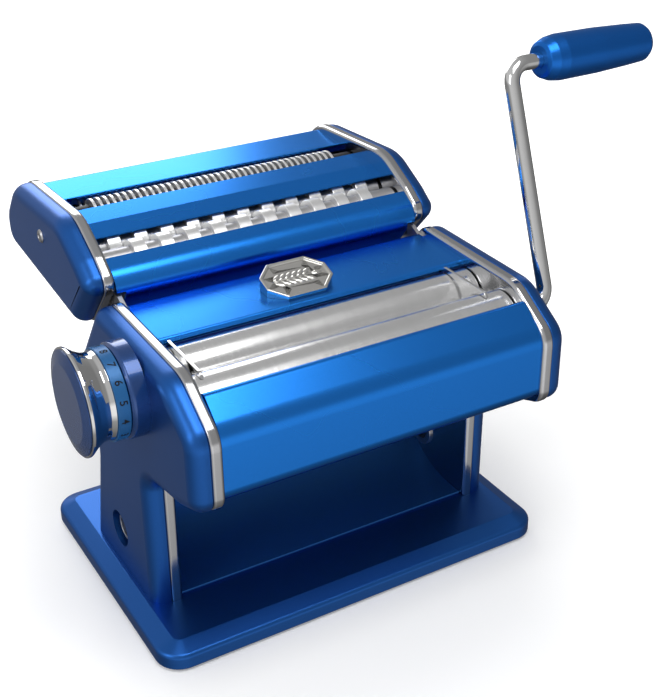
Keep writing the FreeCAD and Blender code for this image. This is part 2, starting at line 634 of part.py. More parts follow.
def make_knob():
    reach = FOLLOWER_Y - 2.0 - 0.35 - REAR_Y     # cam radius under the follower at rest
    points = []
    for k in range(3 * CAM_SETTINGS[0], 3 * CAM_SETTINGS[1] + 1):
        setting = k / 3.0
        # the knob turned by +a brings the point at angle -a under the follower
        turn = math.radians(-setting * STEP_ANGLE)
        radius = reach + setting * STEP_TRAVEL
        points.append((radius * math.cos(turn), radius * math.sin(turn), 0.0))
    sketch = outline_sketch("cam_line", points)
    blank = extrude("cam_blank", sketch, "%g mm" % (CAM_X[1] - CAM_X[0]))
    hole = cylinder("cam_bore", "4 mm", "8 mm", 0, 0, "-1 mm")
    cam = cut("cam_cut", blank, hole)
    cam.Placement = at(REAR_Y, ROLLER_Z, CAM_X[0])
    node(cam, "thickness_cam")
    shaft_end = -113.0
    node(turned("knob_stem", [(CAM_X[1] + 0.4, 0), (CAM_X[1] + 0.4, 4.0), (-104.0, 4.0), (-104.0, 2.6),
                              (shaft_end + 1.4, 2.6), (shaft_end + 1.4, 5.4), (shaft_end, 5.4), (shaft_end, 0)],
                REAR_Y, ROLLER_Z), "knob_shaft")
    node(turned("knob_flare", [(-103.6, 17.0), (-103.6, 19.0), (-105.8, 18.3), (-108.0, 18.7), (-111.0, 20.3),
                               (-113.6, 22.4), (-114.4, "knob_radius"), (-115.6, "knob_radius"), (-115.6, 19.58),
                               (-107.0, 17.0)], REAR_Y, ROLLER_Z), "knob_ring")
    node(turned("knob_hub", [(-98.2, 4.1), (-98.2, 17.0), (-107.0, 17.0), (-114.2, 19.16), (-114.2, 6.4),
                             (-105.2, 6.4), (-105.2, 4.1)], REAR_Y, ROLLER_Z), "knob_core")
    node(turned("knob_face", [(-114.2, 0), (-114.2, 19.16), (-115.6, 19.58), (-115.6, 22.5), (-116.0, 22.1),
                              (-117.6, 16.0), (-117.4, 0)], REAR_Y, ROLLER_Z), "knob_cap")
    ring = turned("number_band", [(-98.2, 17.0), (-98.2, "ring_radius"), (-103.6, "ring_radius"), (-103.6, 17.0)],
                  REAR_Y, ROLLER_Z)
    node(ring, "number_ring")
    coil_start, coil_end, turns = -111.4, -105.4, 4
    helix = doc.addObject("Part::Helix", "spring_line")
    helix.Pitch = (coil_end - coil_start - 1.2) / turns
    helix.Height = coil_end - coil_start - 1.2
    helix.Radius = 4.9
    wire = doc.addObject("Part::Circle", "spring_wire")
    wire.Radius = 0.5
    wire.Placement = FreeCAD.Placement(FreeCAD.Vector(4.9, 0, 0), FreeCAD.Rotation(FreeCAD.Vector(1, 0, 0), 90))
    coil = doc.addObject("Part::Sweep", "spring_coil")
    coil.Sections = [wire]
    coil.Spine = (helix, ["Edge1"])
    coil.Solid = True
    coil.Frenet = True
    coil.Placement = FreeCAD.Placement(FreeCAD.Vector(coil_start + 0.6, REAR_Y, ROLLER_Z),
                                       FreeCAD.Rotation(FreeCAD.Vector(0, 1, 0), 90))
    node(coil, "knob_spring")
    bezel = turned("bezel_ring", [(-90.4, 9.0), (-90.4, "bezel_radius"), (-96.6, "bezel_radius"), (-97.8, 19.4),
                                  (-97.8, 15.0), (-94.0, 15.0), (-92.4, 4.15), (-90.4, 4.15)], REAR_Y, ROLLER_Z)
    node(bezel, "knob_bezel")


def make_crank():
    """Bent rod in the plane of X and the arm; the arm then leans back."""
    body = doc.addObject("PartDesign::Body", "crank_bar")
    path = new_sketch(body, "XZ_Plane", "crank_path")
    start, grip_x, bend = 78.8, 172.0, 8.5
    arm = size("arm_reach")
    path.addGeometry([
        Part.LineSegment(FreeCAD.Vector(start, 0, 0), FreeCAD.Vector(CRANK_X - bend, 0, 0)),
        Part.Arc(FreeCAD.Vector(CRANK_X - bend, 0, 0),
                 FreeCAD.Vector(CRANK_X - bend + bend * math.sin(math.pi / 4), bend - bend * math.cos(math.pi / 4), 0),
                 FreeCAD.Vector(CRANK_X, bend, 0)),
        Part.LineSegment(FreeCAD.Vector(CRANK_X, bend, 0), FreeCAD.Vector(CRANK_X, arm - bend, 0)),
        Part.Arc(FreeCAD.Vector(CRANK_X, arm - bend, 0),
                 FreeCAD.Vector(CRANK_X + bend - bend * math.cos(math.pi / 4),
                                arm - bend + bend * math.sin(math.pi / 4), 0),
                 FreeCAD.Vector(CRANK_X + bend, arm, 0)),
        Part.LineSegment(FreeCAD.Vector(CRANK_X + bend, arm, 0), FreeCAD.Vector(grip_x, arm, 0))], False)
    section = new_sketch(body, "YZ_Plane", "crank_section")
    section.AttachmentOffset = FreeCAD.Placement(FreeCAD.Vector(0, 0, start), FreeCAD.Rotation())
    section.addGeometry(Part.Circle(FreeCAD.Vector(0, 0, 0), FreeCAD.Vector(0, 0, 1), size("rod_radius")), False)
    section.addConstraint(Sketcher.Constraint("Coincident", 0, 3, -1, 1))
    index = section.addConstraint(Sketcher.Constraint("Radius", 0, size("rod_radius")))
    section.setExpression("Constraints[%d]" % index, "Sizes.rod_radius")
    pipe = body.newObject("PartDesign::AdditivePipe", "crank_sweep")
    pipe.Profile = section
    pipe.Spine = (path, ["Edge%d" % (i + 1) for i in range(5)])
    place = FreeCAD.Placement(FreeCAD.Vector(0, FRONT_Y, ROLLER_Z),
                              FreeCAD.Rotation(FreeCAD.Vector(1, 0, 0), CRANK_LEAN))
    body.Placement = place
    pin = doc.addObject("Part::Cylinder", "crank_pin_bar")
    pin.Radius = 1.2
    pin.Height = 12.4
    pin.Placement = place.multiply(at(0, -6.2, SOCKET_END - 2.0))
    hole = doc.addObject("Part::Cylinder", "crank_pin_hole")
    hole.Radius = 1.2
    hole.Height = 20
    hole.Placement = place.multiply(at(0, -10, SOCKET_END - 2.0))
    node(cut("crank_bar_cut", body, hole), "crank_rod")
    node(pin, "crank_cross_pin")
    grip_axis = place.multVec(FreeCAD.Vector(0, 0, arm))
    bore = size("rod_radius") + 0.08
    grip = turned("grip_body", [(118.6, bore), (118.6, 5.6), (119.0, 7.4), (121.4, 8.9), (126.0, 10.1), (132.0, 10.6),
                                (142.0, 10.5), (155.0, 9.9), (168.0, 9.1), (176.0, 8.5), (178.6, 7.6), (179.6, 6.0),
                                (179.8, 5.0), (173.0, 5.0), (173.0, bore)], grip_axis.y, grip_axis.z)
    node(grip, "crank_grip")
    node(turned("grip_plug", [(175.4, 0), (175.4, 5.0), (179.8, 5.0), (180.2, 4.0), (180.4, 0)],
                grip_axis.y, grip_axis.z), "grip_end_plug")


# ----------------------------------------------------------------------- cutter unit
CUTTER_TIES = [(19.6, 145.8), (66.0, 131.0), (110.0, 140.0)]


def make_cutter_sides():
    line = outline_sketch("cutter_line", CUTTER_OUTLINE)
    plate = extrude("cutter_blank", line, "Sizes.flange_wide", "Sizes.frame_inner")
    recess = extrude("cutter_recess", offset("cutter_recess_line", line, "-Sizes.flange_thick"),
                     "Sizes.flange_wide", "Sizes.frame_inner + Sizes.web_thick")
    pan = cut("cutter_pan", round_end("cutter_soft", plate, "web_thick", False), recess)
    past = "Sizes.frame_inner - 1"
    deep = "Sizes.flange_wide + 4"
    tools = [cylinder("cutter_bush_hole", "Sizes.cutter_journal + 2", deep, y, z, past)
             for y, z in (WIDE_FRONT, WIDE_REAR, FINE_FRONT, FINE_REAR)]
    tools += [cylinder("cutter_tie_hole", "Sizes.thread_radius", deep, y, z, past) for y, z in CUTTER_TIES]
    right = node(cut("cutter_right_cut", pan, *tools), "cutter_frame_right")
    node(mirrored("cutter_left_twin", right), "cutter_frame_left")
    shell = make_cover_shell("cap_shell", line, "cap_round")
    past = "Sizes.frame_inner + Sizes.flange_wide"
    deep = "Sizes.cover_deep + 2"
    ways = [cylinder("cap_socket_hole", "6.6 mm", deep, y, z, past) for y, z in (WIDE_REAR, FINE_FRONT)]
    screw_way = cylinder("cap_screw_hole", "Sizes.screw_radius", deep, 67.1, 139.0, past)
    node(cut("cap_right_cut", shell, screw_way, *ways), "cutter_cap_right")
    screw_left = cylinder("cap_screw_hole_left", "Sizes.screw_radius", deep, 67.1, 152.1, past)
    node(mirrored("cap_left_twin", cut("cap_left_cut", shell, screw_left)), "cutter_cap_left")
    face = size("frame_inner") + size("flange_wide") + size("cover_deep")
    screws = []
    for side, z in ((1, 139.0), (-1, 152.1)):
        points = [(79.4, 0), (79.4, "screw_radius"), (face, "screw_radius"), (face, 3.4), (face + 0.9, 2.6),
                  (face + 1.2, 1.2), (face + 1.2, 0)]
        if side < 0:
            points = [(-a, b) for a, b in points]
        screws.append(turned("cap_screw", points, 67.1, z))
    node(group("cap_screw_set", screws), "cutter_cap_screws")


def make_cutter_sheets():
    reach = "Sizes.frame_inner"
    rear = [(82.0, 161.4, 0), (106.0, 162.6, 6.0), (120.6, 145.0, 10.0), (119.8, 131.0, 5.0), (111.0, 126.0, 0)]
    node(strip("rear_deck", rear, reach), "cutter_rear_sheet")
    middle = [(41.9, 156.5, 0), (51.5, 159.8, 2.6), (65.2, 161.6, 0)]
    node(strip("middle_deck", middle, reach), "cutter_middle_sheet")
    front = [(26.6, 120.8, 0), (9.9, 142.8, 8.0), (15.2, 151.6, 9.0), (24.4, 154.3, 0)]
    deck = strip("front_deck", front, reach)
    relief = [block("front_deck_relief", (5.0, 40.0, 28.0), (x, 0.0, 115.0))
              for x in (size("frame_inner") - 4.2, -size("frame_inner") - 0.8)]
    node(cut("front_deck_cut", deck, *relief), "cutter_front_sheet")


def ridged_roller(name, centre, strip_alias, count, label):
    """Cutting roller: a core with square-edged ridges at twice the strip's pitch."""
    y, z = centre
    pitch = 2 * size(strip_alias)
    ridge = size(strip_alias) - 2 * size("ridge_play")
    core_end = 78.9
    right_end = GEAR_X + size("gear_wide")
    points = [(-core_end, 0), (-core_end, "cutter_journal"), ("-cutter_reach", "cutter_journal"),
              ("-cutter_reach", "groove_radius"), ("cutter_reach", "groove_radius"),
              ("cutter_reach", "cutter_journal"), (right_end, "cutter_journal"), (right_end, 0)]
    body = doc.addObject("PartDesign::Body", name)
    sketch = new_sketch(body, "XY_Plane", name + "_core")
    pinned_polyline(sketch, points)
    core = body.newObject("PartDesign::Revolution", name + "_core_turn")
    core.Profile = sketch
    core.ReferenceAxis = (sketch, ["H_Axis"])
    first = -(count - 1) * pitch / 2
    low = size("groove_radius") - 0.5
    tall = new_sketch(body, "XY_Plane", name + "_ridge")
    pinned_polyline(tall, [(first - ridge / 2, low), (first - ridge / 2, "ridge_radius"),
                           (first + ridge / 2, "ridge_radius"), (first + ridge / 2, low)])
    turn = body.newObject("PartDesign::Revolution", name + "_ridge_turn")
    turn.Profile = tall
    turn.ReferenceAxis = (tall, ["H_Axis"])
    doc.recompute()
    pattern = body.newObject("PartDesign::LinearPattern", name + "_ridges")
    pattern.Originals = [turn]
    pattern.Direction = (tall, ["H_Axis"])
    pattern.Length = (count - 1) * pitch
    pattern.Occurrences = count
    body.Tip = pattern
    body.Placement = at(y, z)
    node(body, label)


def make_socket(title, y, z):
    """Crank socket on the outer face of a cutting pair's driving gear."""
    start = GEAR_X + size("gear_wide")
    bore = size("rod_radius") + 0.05
    tube = turned(title + "_socket_tube", [(start, bore), (start, 6.0), (CUTTER_SOCKET_END, 6.0),
                                           (CUTTER_SOCKET_END, bore)], y, z)
    notch = block(title + "_socket_notch", (4.0, 2.2, 16.0), (CUTTER_SOCKET_END - 1.6, y - 1.1, z - 8))
    return cut(title + "_socket_cut", tube, notch)


def make_cutters():
    pairs = (("wide", WIDE_FRONT, WIDE_REAR, "wide_strip", (10, 11), 1),
             ("fine", FINE_FRONT, FINE_REAR, "fine_strip", (40, 41), 0))
    for title, front, rear, alias, counts, driver in pairs:
        ends = [("front", front, counts[0]), ("rear", rear, counts[1])]
        for index, (where, centre, count) in enumerate(ends):
            ridged_roller("%s_%s_body" % (title, where), centre, alias, count, "%s_%s_cutter" % (title, where))
            phase = math.atan2(rear[1] - front[1], rear[0] - front[0])
            phase += (math.pi + math.pi / 12) * index
            made = gear("%s_%s_gear_cut" % (title, where), 12, 6.3, 9.3, 1.1, 0.5, phase, "Sizes.cutter_journal",
                        centre[0], centre[1], "%g mm" % GEAR_X)
            if index == driver:
                made = fuse("%s_gear_socket" % title, made, make_socket(title, *centre))
            node(made, "%s_%s_gear" % (title, where))
    bushes = []
    for y, z in (WIDE_FRONT, WIDE_REAR, FINE_FRONT, FINE_REAR):
        for side in (-1, 1):
            start = size("frame_inner") if side > 0 else -size("frame_inner") - 2.0
            inner = size("cutter_journal") + 0.05
            bushes.append(turned("cutter_bush", [(0, inner), (0, 6.0), (2.0, 6.0), (2.0, inner)], y, z, start))
    node(group("cutter_bush_set", bushes), "cutter_bushes")


def make_combs():
    """Strippers under each pair, kept clear of the ridges."""
    combs = []
    for title, front, rear in (("wide", WIDE_FRONT, WIDE_REAR), ("fine", FINE_FRONT, FINE_REAR)):
        low = front[1] - size("ridge_radius") - 0.8
        line = [(front[0] - 1.0, low, 0), (front[0] - 6.0, low - 5.0, 0)]
        low = rear[1] - size("ridge_radius") - 0.8
        other = [(rear[0] + 6.0, low - 5.0, 0), (rear[0] + 1.0, low, 0)]
        combs += [strip("%s_comb_front" % title, line[::-1], "Sizes.frame_inner"),
                  strip("%s_comb_rear" % title, other[::-1], "Sizes.frame_inner")]
    node(group("comb_set", combs), "cutter_combs")


def make_brackets():
    """Plate with two open-topped slots on the inner face of each main frame."""
    inner = size("frame_inner")
    outline = [(2.0, 118.0, 2.0), (2.0, 136.5, 2.0), (12.0, 141.5, 2.0), (23.0, 141.0, 1.5), (26.0, 130.5, 1.0),
               (35.0, 127.0, 1.5), (35.0, 119.0, 2.0), (24.0, 112.0, 3.0)]
    blank = extrude("bracket_blank", outline_sketch("bracket_line", outline), "2 mm", "Sizes.frame_inner - 2")
    ways = []
    for y, z in HOOK_PINS:
        ways.append(cylinder("pin_seat", "2.4 mm", "4 mm", y, z, "Sizes.frame_inner - 3"))
        ways.append(block("pin_way", (4.0, 4.8, 30.0), (inner - 3, y - 2.4, z)))
    right = cut("bracket_right", blank, *ways)
    return node(group("bracket_pair", [right, mirrored("bracket_left", right)]), "cutter_brackets")


def make_hook_pins():
    """Headed pins on the cutter unit that drop into the brackets' slots."""
    inner = size("frame_inner")
    pins = []
    for side in (-1, 1):
        for y, z in HOOK_PINS:
            a, b, c = side * inner, side * (inner - 2.3), side * (inner - 3.8)
            pins.append(turned("hook_pin", [(a, 0), (a, 2.0), (b, 2.0), (b, 3.4), (c, 3.4), (c, 0)], y, z))
    node(group("hook_pin_set", pins), "cutter_hook_pins")


# --------------------------------------------------------------------------- build
make_base()
FRAME_LINE = make_frames()
make_covers(FRAME_LINE)
make_clamp_sockets()
BRACKETS = make_brackets()
make_sheets()
make_badge()
make_guards()
make_scrapers()
make_ties("frame", TIE_RODS, "tie")
make_front_roller()
make_rear_roller()
make_knob()
make_crank()
make_cutter_sides()
make_cutter_sheets()
make_ties("cutter", CUTTER_TIES, "cutter_tie")
make_cutters()
make_combs()
make_hook_pins()

doc.recompute()
failed = [thing.Label for thing in doc.Objects if "Invalid" in thing.State or "Error" in thing.State]
if failed:
    raise RuntimeError("these objects failed: " + ", ".join(failed))
os.makedirs("parts", exist_ok=True)
broken = [made.Label for made in NODES
          if made.Shape.isNull() or not made.Shape.isValid() or not made.Shape.Solids]
if broken:
    raise RuntimeError("these nodes have no valid solid: " + ", ".join(broken))
for made in NODES:
    shape = made.Shape
    print("%-24s %2d solids %10.1f mm3" % (made.Label, len(shape.Solids), shape.Volume))
    shape.exportStep("parts/%s.step" % made.Label)
print(len(NODES), "nodes")
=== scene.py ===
"""Manual pasta roller machine in blue lacquer and chrome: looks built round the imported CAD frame."""
import json
import math

import bmesh
import bpy
import numpy as np
from bpy.props import FloatProperty, FloatVectorProperty, IntProperty, PointerProperty
from mathutils import Matrix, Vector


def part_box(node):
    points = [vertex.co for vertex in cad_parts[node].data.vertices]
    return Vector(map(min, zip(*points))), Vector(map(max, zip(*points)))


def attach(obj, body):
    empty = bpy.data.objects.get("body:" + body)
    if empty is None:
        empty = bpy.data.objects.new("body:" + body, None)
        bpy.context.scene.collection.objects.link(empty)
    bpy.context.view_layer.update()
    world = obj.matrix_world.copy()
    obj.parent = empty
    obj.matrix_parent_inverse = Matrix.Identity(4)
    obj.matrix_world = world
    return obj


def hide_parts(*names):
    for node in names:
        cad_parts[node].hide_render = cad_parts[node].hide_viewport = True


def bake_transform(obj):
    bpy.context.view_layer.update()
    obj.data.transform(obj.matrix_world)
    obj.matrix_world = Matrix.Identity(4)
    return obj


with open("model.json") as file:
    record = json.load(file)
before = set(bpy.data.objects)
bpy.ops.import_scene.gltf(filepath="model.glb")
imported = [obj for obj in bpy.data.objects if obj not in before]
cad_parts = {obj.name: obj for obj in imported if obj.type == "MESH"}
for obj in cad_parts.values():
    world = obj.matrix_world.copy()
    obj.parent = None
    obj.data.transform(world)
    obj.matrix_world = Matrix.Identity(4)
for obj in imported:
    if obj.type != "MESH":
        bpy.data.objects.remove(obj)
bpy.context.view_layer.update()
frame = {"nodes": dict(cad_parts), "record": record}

bl_info = {
    "name": "Pasta Roller Machine",
    "version": (1, 0, 0),
    "blender": (4, 5, 0),
    "location": "View3D > Sidebar > Pasta Machine",
    "description": "Builds the lacquered and chromed pieces of a hand-cranked pasta roller",
    "category": "Add Mesh",
}

MM = 0.001
SLOT_OF = {part["node"]: part["material_slot"] for part in frame["record"]["subparts"]}


# ------------------------------------------------------------------ places from the frame
def span(node):
    """Lowest and highest corner of a CAD node as two arrays, in metres."""
    low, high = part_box(node)
    return np.array(low), np.array(high)


def axis_of(node):
    """(y, z) of the axis of a node that is round about X."""
    low, high = span(node)
    return (low[1:] + high[1:]) / 2


BASE_LOW, BASE_HIGH = span("base_plate")
BASE_TOP = BASE_HIGH[2]
FRAME_INNER = span("side_frame_right")[0][0]
FRAME_OUTER = span("side_frame_right")[1][0]
COVER_FACE = span("side_cover_right")[1][0]
FRONT_AXIS = axis_of("front_roller")
REAR_AXIS = axis_of("rear_roller")
ROLLER_RADIUS = (span("front_roller")[1][2] - span("front_roller")[0][2]) / 2
GRIP_AXIS = axis_of("crank_grip")

# Side profiles in the YZ plane, (y, z, corner radius) in millimetres
HEAD_OUTLINE = [
    (-38.0, -8.0, 0.0), (-38.0, 79.5, 9.0), (-72.0, 86.0, 16.0), (-89.8, 92.5, 8.0),
    (-89.3, 125.7, 12.0), (-64.2, 141.6, 22.0), (6.5, 142.4, 8.0), (29.0, 113.0, 12.0),
    (38.0, 101.0, 8.0), (21.5, 66.0, 14.0), (39.8, -8.0, 0.0),
]
CUTTER_OUTLINE = [
    (33.0, 120.8, 7.0), (8.6, 147.5, 7.0), (22.0, 157.2, 14.0), (43.2, 168.6, 26.0), (108.0, 165.3, 22.0),
    (124.5, 146.0, 16.0), (123.5, 128.0, 11.0),
]


# ------------------------------------------------------------------------- adjustable values
def colour(name, text, value):
    return FloatVectorProperty(name=name, description=text, subtype="COLOR", size=4, min=0, max=1, default=value)


class PastaMachineSizes(bpy.types.PropertyGroup):
    """Sizes that change the look without changing the mechanism."""
    cover_round: FloatProperty(name="Cover rounding", description="Radius of the side covers' outer edges",
                               default=6.6 * MM, min=1 * MM, max=8 * MM, unit="LENGTH")
    cap_round: FloatProperty(name="Cap rounding", description="Radius of the cutter caps' outer edges",
                             default=7.2 * MM, min=1 * MM, max=8 * MM, unit="LENGTH")
    sheet_gauge: FloatProperty(name="Sheet gauge", description="Thickness of the lacquered sheets",
                               default=1.2 * MM, min=0.5 * MM, max=2 * MM, unit="LENGTH")
    rod_radius: FloatProperty(name="Crank rod radius", description="Radius of the crank's bent rod",
                              default=3.5 * MM, min=2 * MM, max=5 * MM, unit="LENGTH")
    digit_size: FloatProperty(name="Digit height", description="Height of the dial's digits",
                              default=4.6 * MM, min=1 * MM, max=6 * MM, unit="LENGTH")
    round_steps: IntProperty(name="Round steps", description="Divisions of a turned piece about its axis",
                             default=96, min=24, max=192)


class PastaMachineColours(bpy.types.PropertyGroup):
    """Colours of the finishes."""
    sheet_blue: colour("Sheet lacquer", "Metallic blue of the sheets between the side frames", (0.022, 0.225, 0.78, 1))
    cover_blue: colour("Cover lacquer", "Metallic blue of the side covers and the base", (0.016, 0.098, 0.36, 1))
    knob_blue: colour("Knob lacquer", "Deep blue of the knob's cap and bezel", (0.006, 0.05, 0.20, 1))
    band_blue: colour("Number band", "Blue of the band that carries the digits", (0.012, 0.11, 0.30, 1))
    chrome: colour("Chrome", "Plated steel", (0.68, 0.68, 0.68, 1))
    aluminium: colour("Aluminium", "Turned rollers", (0.86, 0.86, 0.86, 1))
    rubber: colour("Rubber", "Feet and bearings", (0.015, 0.015, 0.017, 1))
    nylon: colour("Nylon", "Gears", (0.72, 0.70, 0.64, 1))
    floor: colour("Floor", "Plain pale floor", (0.80, 0.80, 0.80, 1))


def sizes():
    return bpy.context.scene.pasta_sizes


def colours():
    return bpy.context.scene.pasta_colours


# ----------------------------------------------------------------------- shader node groups
def new_group(name, inputs, outputs):
    """Empty shader node group with named sockets; inputs are (name, socket type, default)."""
    group = bpy.data.node_groups.new(name, "ShaderNodeTree")
    for label, kind, default in inputs:
        socket = group.interface.new_socket(name=label, in_out="INPUT", socket_type=kind)
        if default is not None:
            socket.default_value = default
    for label, kind in outputs:
        group.interface.new_socket(name=label, in_out="OUTPUT", socket_type=kind)
    return group, group.nodes.new("NodeGroupInput"), group.nodes.new("NodeGroupOutput")


def add(tree, kind, **values):
    """Node of this kind; keyword names are properties, or inputs where no property has that name."""
    made = tree.nodes.new(kind)
    for name, value in values.items():
        if hasattr(made, name):
            setattr(made, name, value)
        else:
            made.inputs[name.replace("_", " ")].default_value = value
    return made


def ramp(tree, source, stops):
    """Colour ramp fed by a socket; stops are (place, grey value)."""
    made = tree.nodes.new("ShaderNodeValToRGB")
    elements = made.color_ramp.elements
    while len(elements) < len(stops):
        elements.new(0.5)
    for element, (place, grey) in zip(elements, stops):
        element.position = place
        element.color = (grey, grey, grey, 1)
    tree.links.new(source, made.inputs["Fac"])
    return made.outputs["Color"]


def maths(tree, operation, a, b):
    made = tree.nodes.new("ShaderNodeMath")
    made.operation = operation
    for socket, value in zip(made.inputs, (a, b)):
        if isinstance(value, (int, float)):
            socket.default_value = value
        else:
            tree.links.new(value, socket)
    return made.outputs[0]


def make_flake_group():
    """Lacquer grain: fine metallic flakes, a slow orange peel and faint dust."""
    group, source, sink = new_group(
        "LacquerGrain",
        [("Base", "NodeSocketColor", (0, 0.1, 0.5, 1)), ("Flake Scale", "NodeSocketFloat", 1500.0),
         ("Flake Depth", "NodeSocketFloat", 0.12), ("Peel Scale", "NodeSocketFloat", 160.0),
         ("Smooth", "NodeSocketFloat", 0.3)],
        [("Colour", "NodeSocketColor"), ("Roughness", "NodeSocketFloat"), ("Height", "NodeSocketFloat")])
    place = add(group, "ShaderNodeTexCoord").outputs["Object"]
    flake = add(group, "ShaderNodeTexNoise", Detail=2.0)
    peel = add(group, "ShaderNodeTexNoise", Detail=1.0)
    cloud = add(group, "ShaderNodeTexNoise", Scale=14.0, Detail=3.0)
    for noise in (flake, peel, cloud):
        group.links.new(place, noise.inputs["Vector"])
    group.links.new(source.outputs["Flake Scale"], flake.inputs["Scale"])
    group.links.new(source.outputs["Peel Scale"], peel.inputs["Scale"])
    tint = add(group, "ShaderNodeHueSaturation")
    spread = maths(group, "MULTIPLY", maths(group, "SUBTRACT", flake.outputs["Fac"], 0.5), source.outputs["Flake Depth"])
    group.links.new(maths(group, "ADD", spread, 1.0), tint.inputs["Value"])
    group.links.new(source.outputs["Base"], tint.inputs["Color"])
    haze = maths(group, "MULTIPLY", maths(group, "SUBTRACT", cloud.outputs["Fac"], 0.5), 0.08)
    group.links.new(tint.outputs["Color"], sink.inputs["Colour"])
    group.links.new(maths(group, "ADD", haze, source.outputs["Smooth"]), sink.inputs["Roughness"])
    group.links.new(peel.outputs["Fac"], sink.inputs["Height"])
    return group


def make_turning_group():
    """Turning marks: fine rings across X with a slow blotch, for lathe-turned metal."""
    group, source, sink = new_group(
        "TurningMarks",
        [("Base", "NodeSocketColor", (0.7, 0.7, 0.7, 1)), ("Ring Scale", "NodeSocketFloat", 900.0),
         ("Smooth", "NodeSocketFloat", 0.2), ("Streak", "NodeSocketFloat", 0.1)],
        [("Colour", "NodeSocketColor"), ("Roughness", "NodeSocketFloat"), ("Height", "NodeSocketFloat")])
    place = add(group, "ShaderNodeTexCoord").outputs["Object"]
    stretch = add(group, "ShaderNodeMapping")
    stretch.inputs["Scale"].default_value = (1.0, 0.03, 0.03)
    group.links.new(place, stretch.inputs["Vector"])
    rings = add(group, "ShaderNodeTexNoise", Detail=4.0)
    group.links.new(stretch.outputs["Vector"], rings.inputs["Vector"])
    group.links.new(source.outputs["Ring Scale"], rings.inputs["Scale"])
    blotch = add(group, "ShaderNodeTexNoise", Scale=35.0, Detail=2.0)
    group.links.new(place, blotch.inputs["Vector"])
    tint = add(group, "ShaderNodeHueSaturation")
    spread = maths(group, "MULTIPLY", maths(group, "SUBTRACT", rings.outputs["Fac"], 0.5), source.outputs["Streak"])
    group.links.new(maths(group, "ADD", spread, 1.0), tint.inputs["Value"])
    group.links.new(source.outputs["Base"], tint.inputs["Color"])
    rough = maths(group, "ADD", maths(group, "MULTIPLY", rings.outputs["Fac"], 0.10),
                  maths(group, "MULTIPLY", blotch.outputs["Fac"], 0.05))
    group.links.new(tint.outputs["Color"], sink.inputs["Colour"])
    group.links.new(maths(group, "ADD", rough, source.outputs["Smooth"]), sink.inputs["Roughness"])
    group.links.new(rings.outputs["Fac"], sink.inputs["Height"])
    return group


def make_plating_group():
    """Plating: a slow ripple of the polished ground and faint wiping smears."""
    group, source, sink = new_group(
        "PlatedMetal",
        [("Base", "NodeSocketColor", (0.8, 0.8, 0.8, 1)), ("Smooth", "NodeSocketFloat", 0.06),
         ("Ripple Scale", "NodeSocketFloat", 90.0)],
        [("Colour", "NodeSocketColor"), ("Roughness", "NodeSocketFloat"), ("Height", "NodeSocketFloat")])
    place = add(group, "ShaderNodeTexCoord").outputs["Object"]
    ripple = add(group, "ShaderNodeTexNoise", Detail=1.0)
    smear = add(group, "ShaderNodeTexNoise", Scale=45.0, Detail=5.0, Roughness=0.7)
    group.links.new(place, ripple.inputs["Vector"])
    group.links.new(place, smear.inputs["Vector"])
    group.links.new(source.outputs["Ripple Scale"], ripple.inputs["Scale"])
    wiped = ramp(group, smear.outputs["Fac"], [(0.45, 0.0), (0.75, 1.0)])
    tint = add(group, "ShaderNodeHueSaturation")
    group.links.new(maths(group, "SUBTRACT", 1.0, maths(group, "MULTIPLY", wiped, 0.05)), tint.inputs["Value"])
    group.links.new(source.outputs["Base"], tint.inputs["Color"])
    group.links.new(tint.outputs["Color"], sink.inputs["Colour"])
    group.links.new(maths(group, "ADD", maths(group, "MULTIPLY", wiped, 0.06), source.outputs["Smooth"]),
                    sink.inputs["Roughness"])
    group.links.new(ripple.outputs["Fac"], sink.inputs["Height"])
    return group


def finish(name, group, metallic, bump, bump_distance=0.0002, coat=0.0, coat_roughness=0.1, edge=None, **values):
    """Material whose Principled shader reads colour, roughness and height from one of the groups."""
    material = bpy.data.materials.new(name)
    material.use_nodes = True
    tree = material.node_tree
    shader = tree.nodes["Principled BSDF"]
    made = tree.nodes.new("ShaderNodeGroup")
    made.node_tree = group
    for label, value in values.items():
        made.inputs[label.replace("_", " ")].default_value = value
    relief = tree.nodes.new("ShaderNodeBump")
    relief.inputs["Strength"].default_value = bump
    relief.inputs["Distance"].default_value = bump_distance
    tree.links.new(made.outputs["Height"], relief.inputs["Height"])
    tree.links.new(made.outputs["Colour"], shader.inputs["Base Color"])
    tree.links.new(made.outputs["Roughness"], shader.inputs["Roughness"])
    if bump > 0:
        tree.links.new(relief.outputs["Normal"], shader.inputs["Normal"])
    shader.inputs["Metallic"].default_value = metallic
    shader.inputs["Coat Weight"].default_value = coat
    shader.inputs["Coat Roughness"].default_value = coat_roughness
    if edge is not None:
        shader.inputs["Specular Tint"].default_value = edge
    return material


FINISH = {}


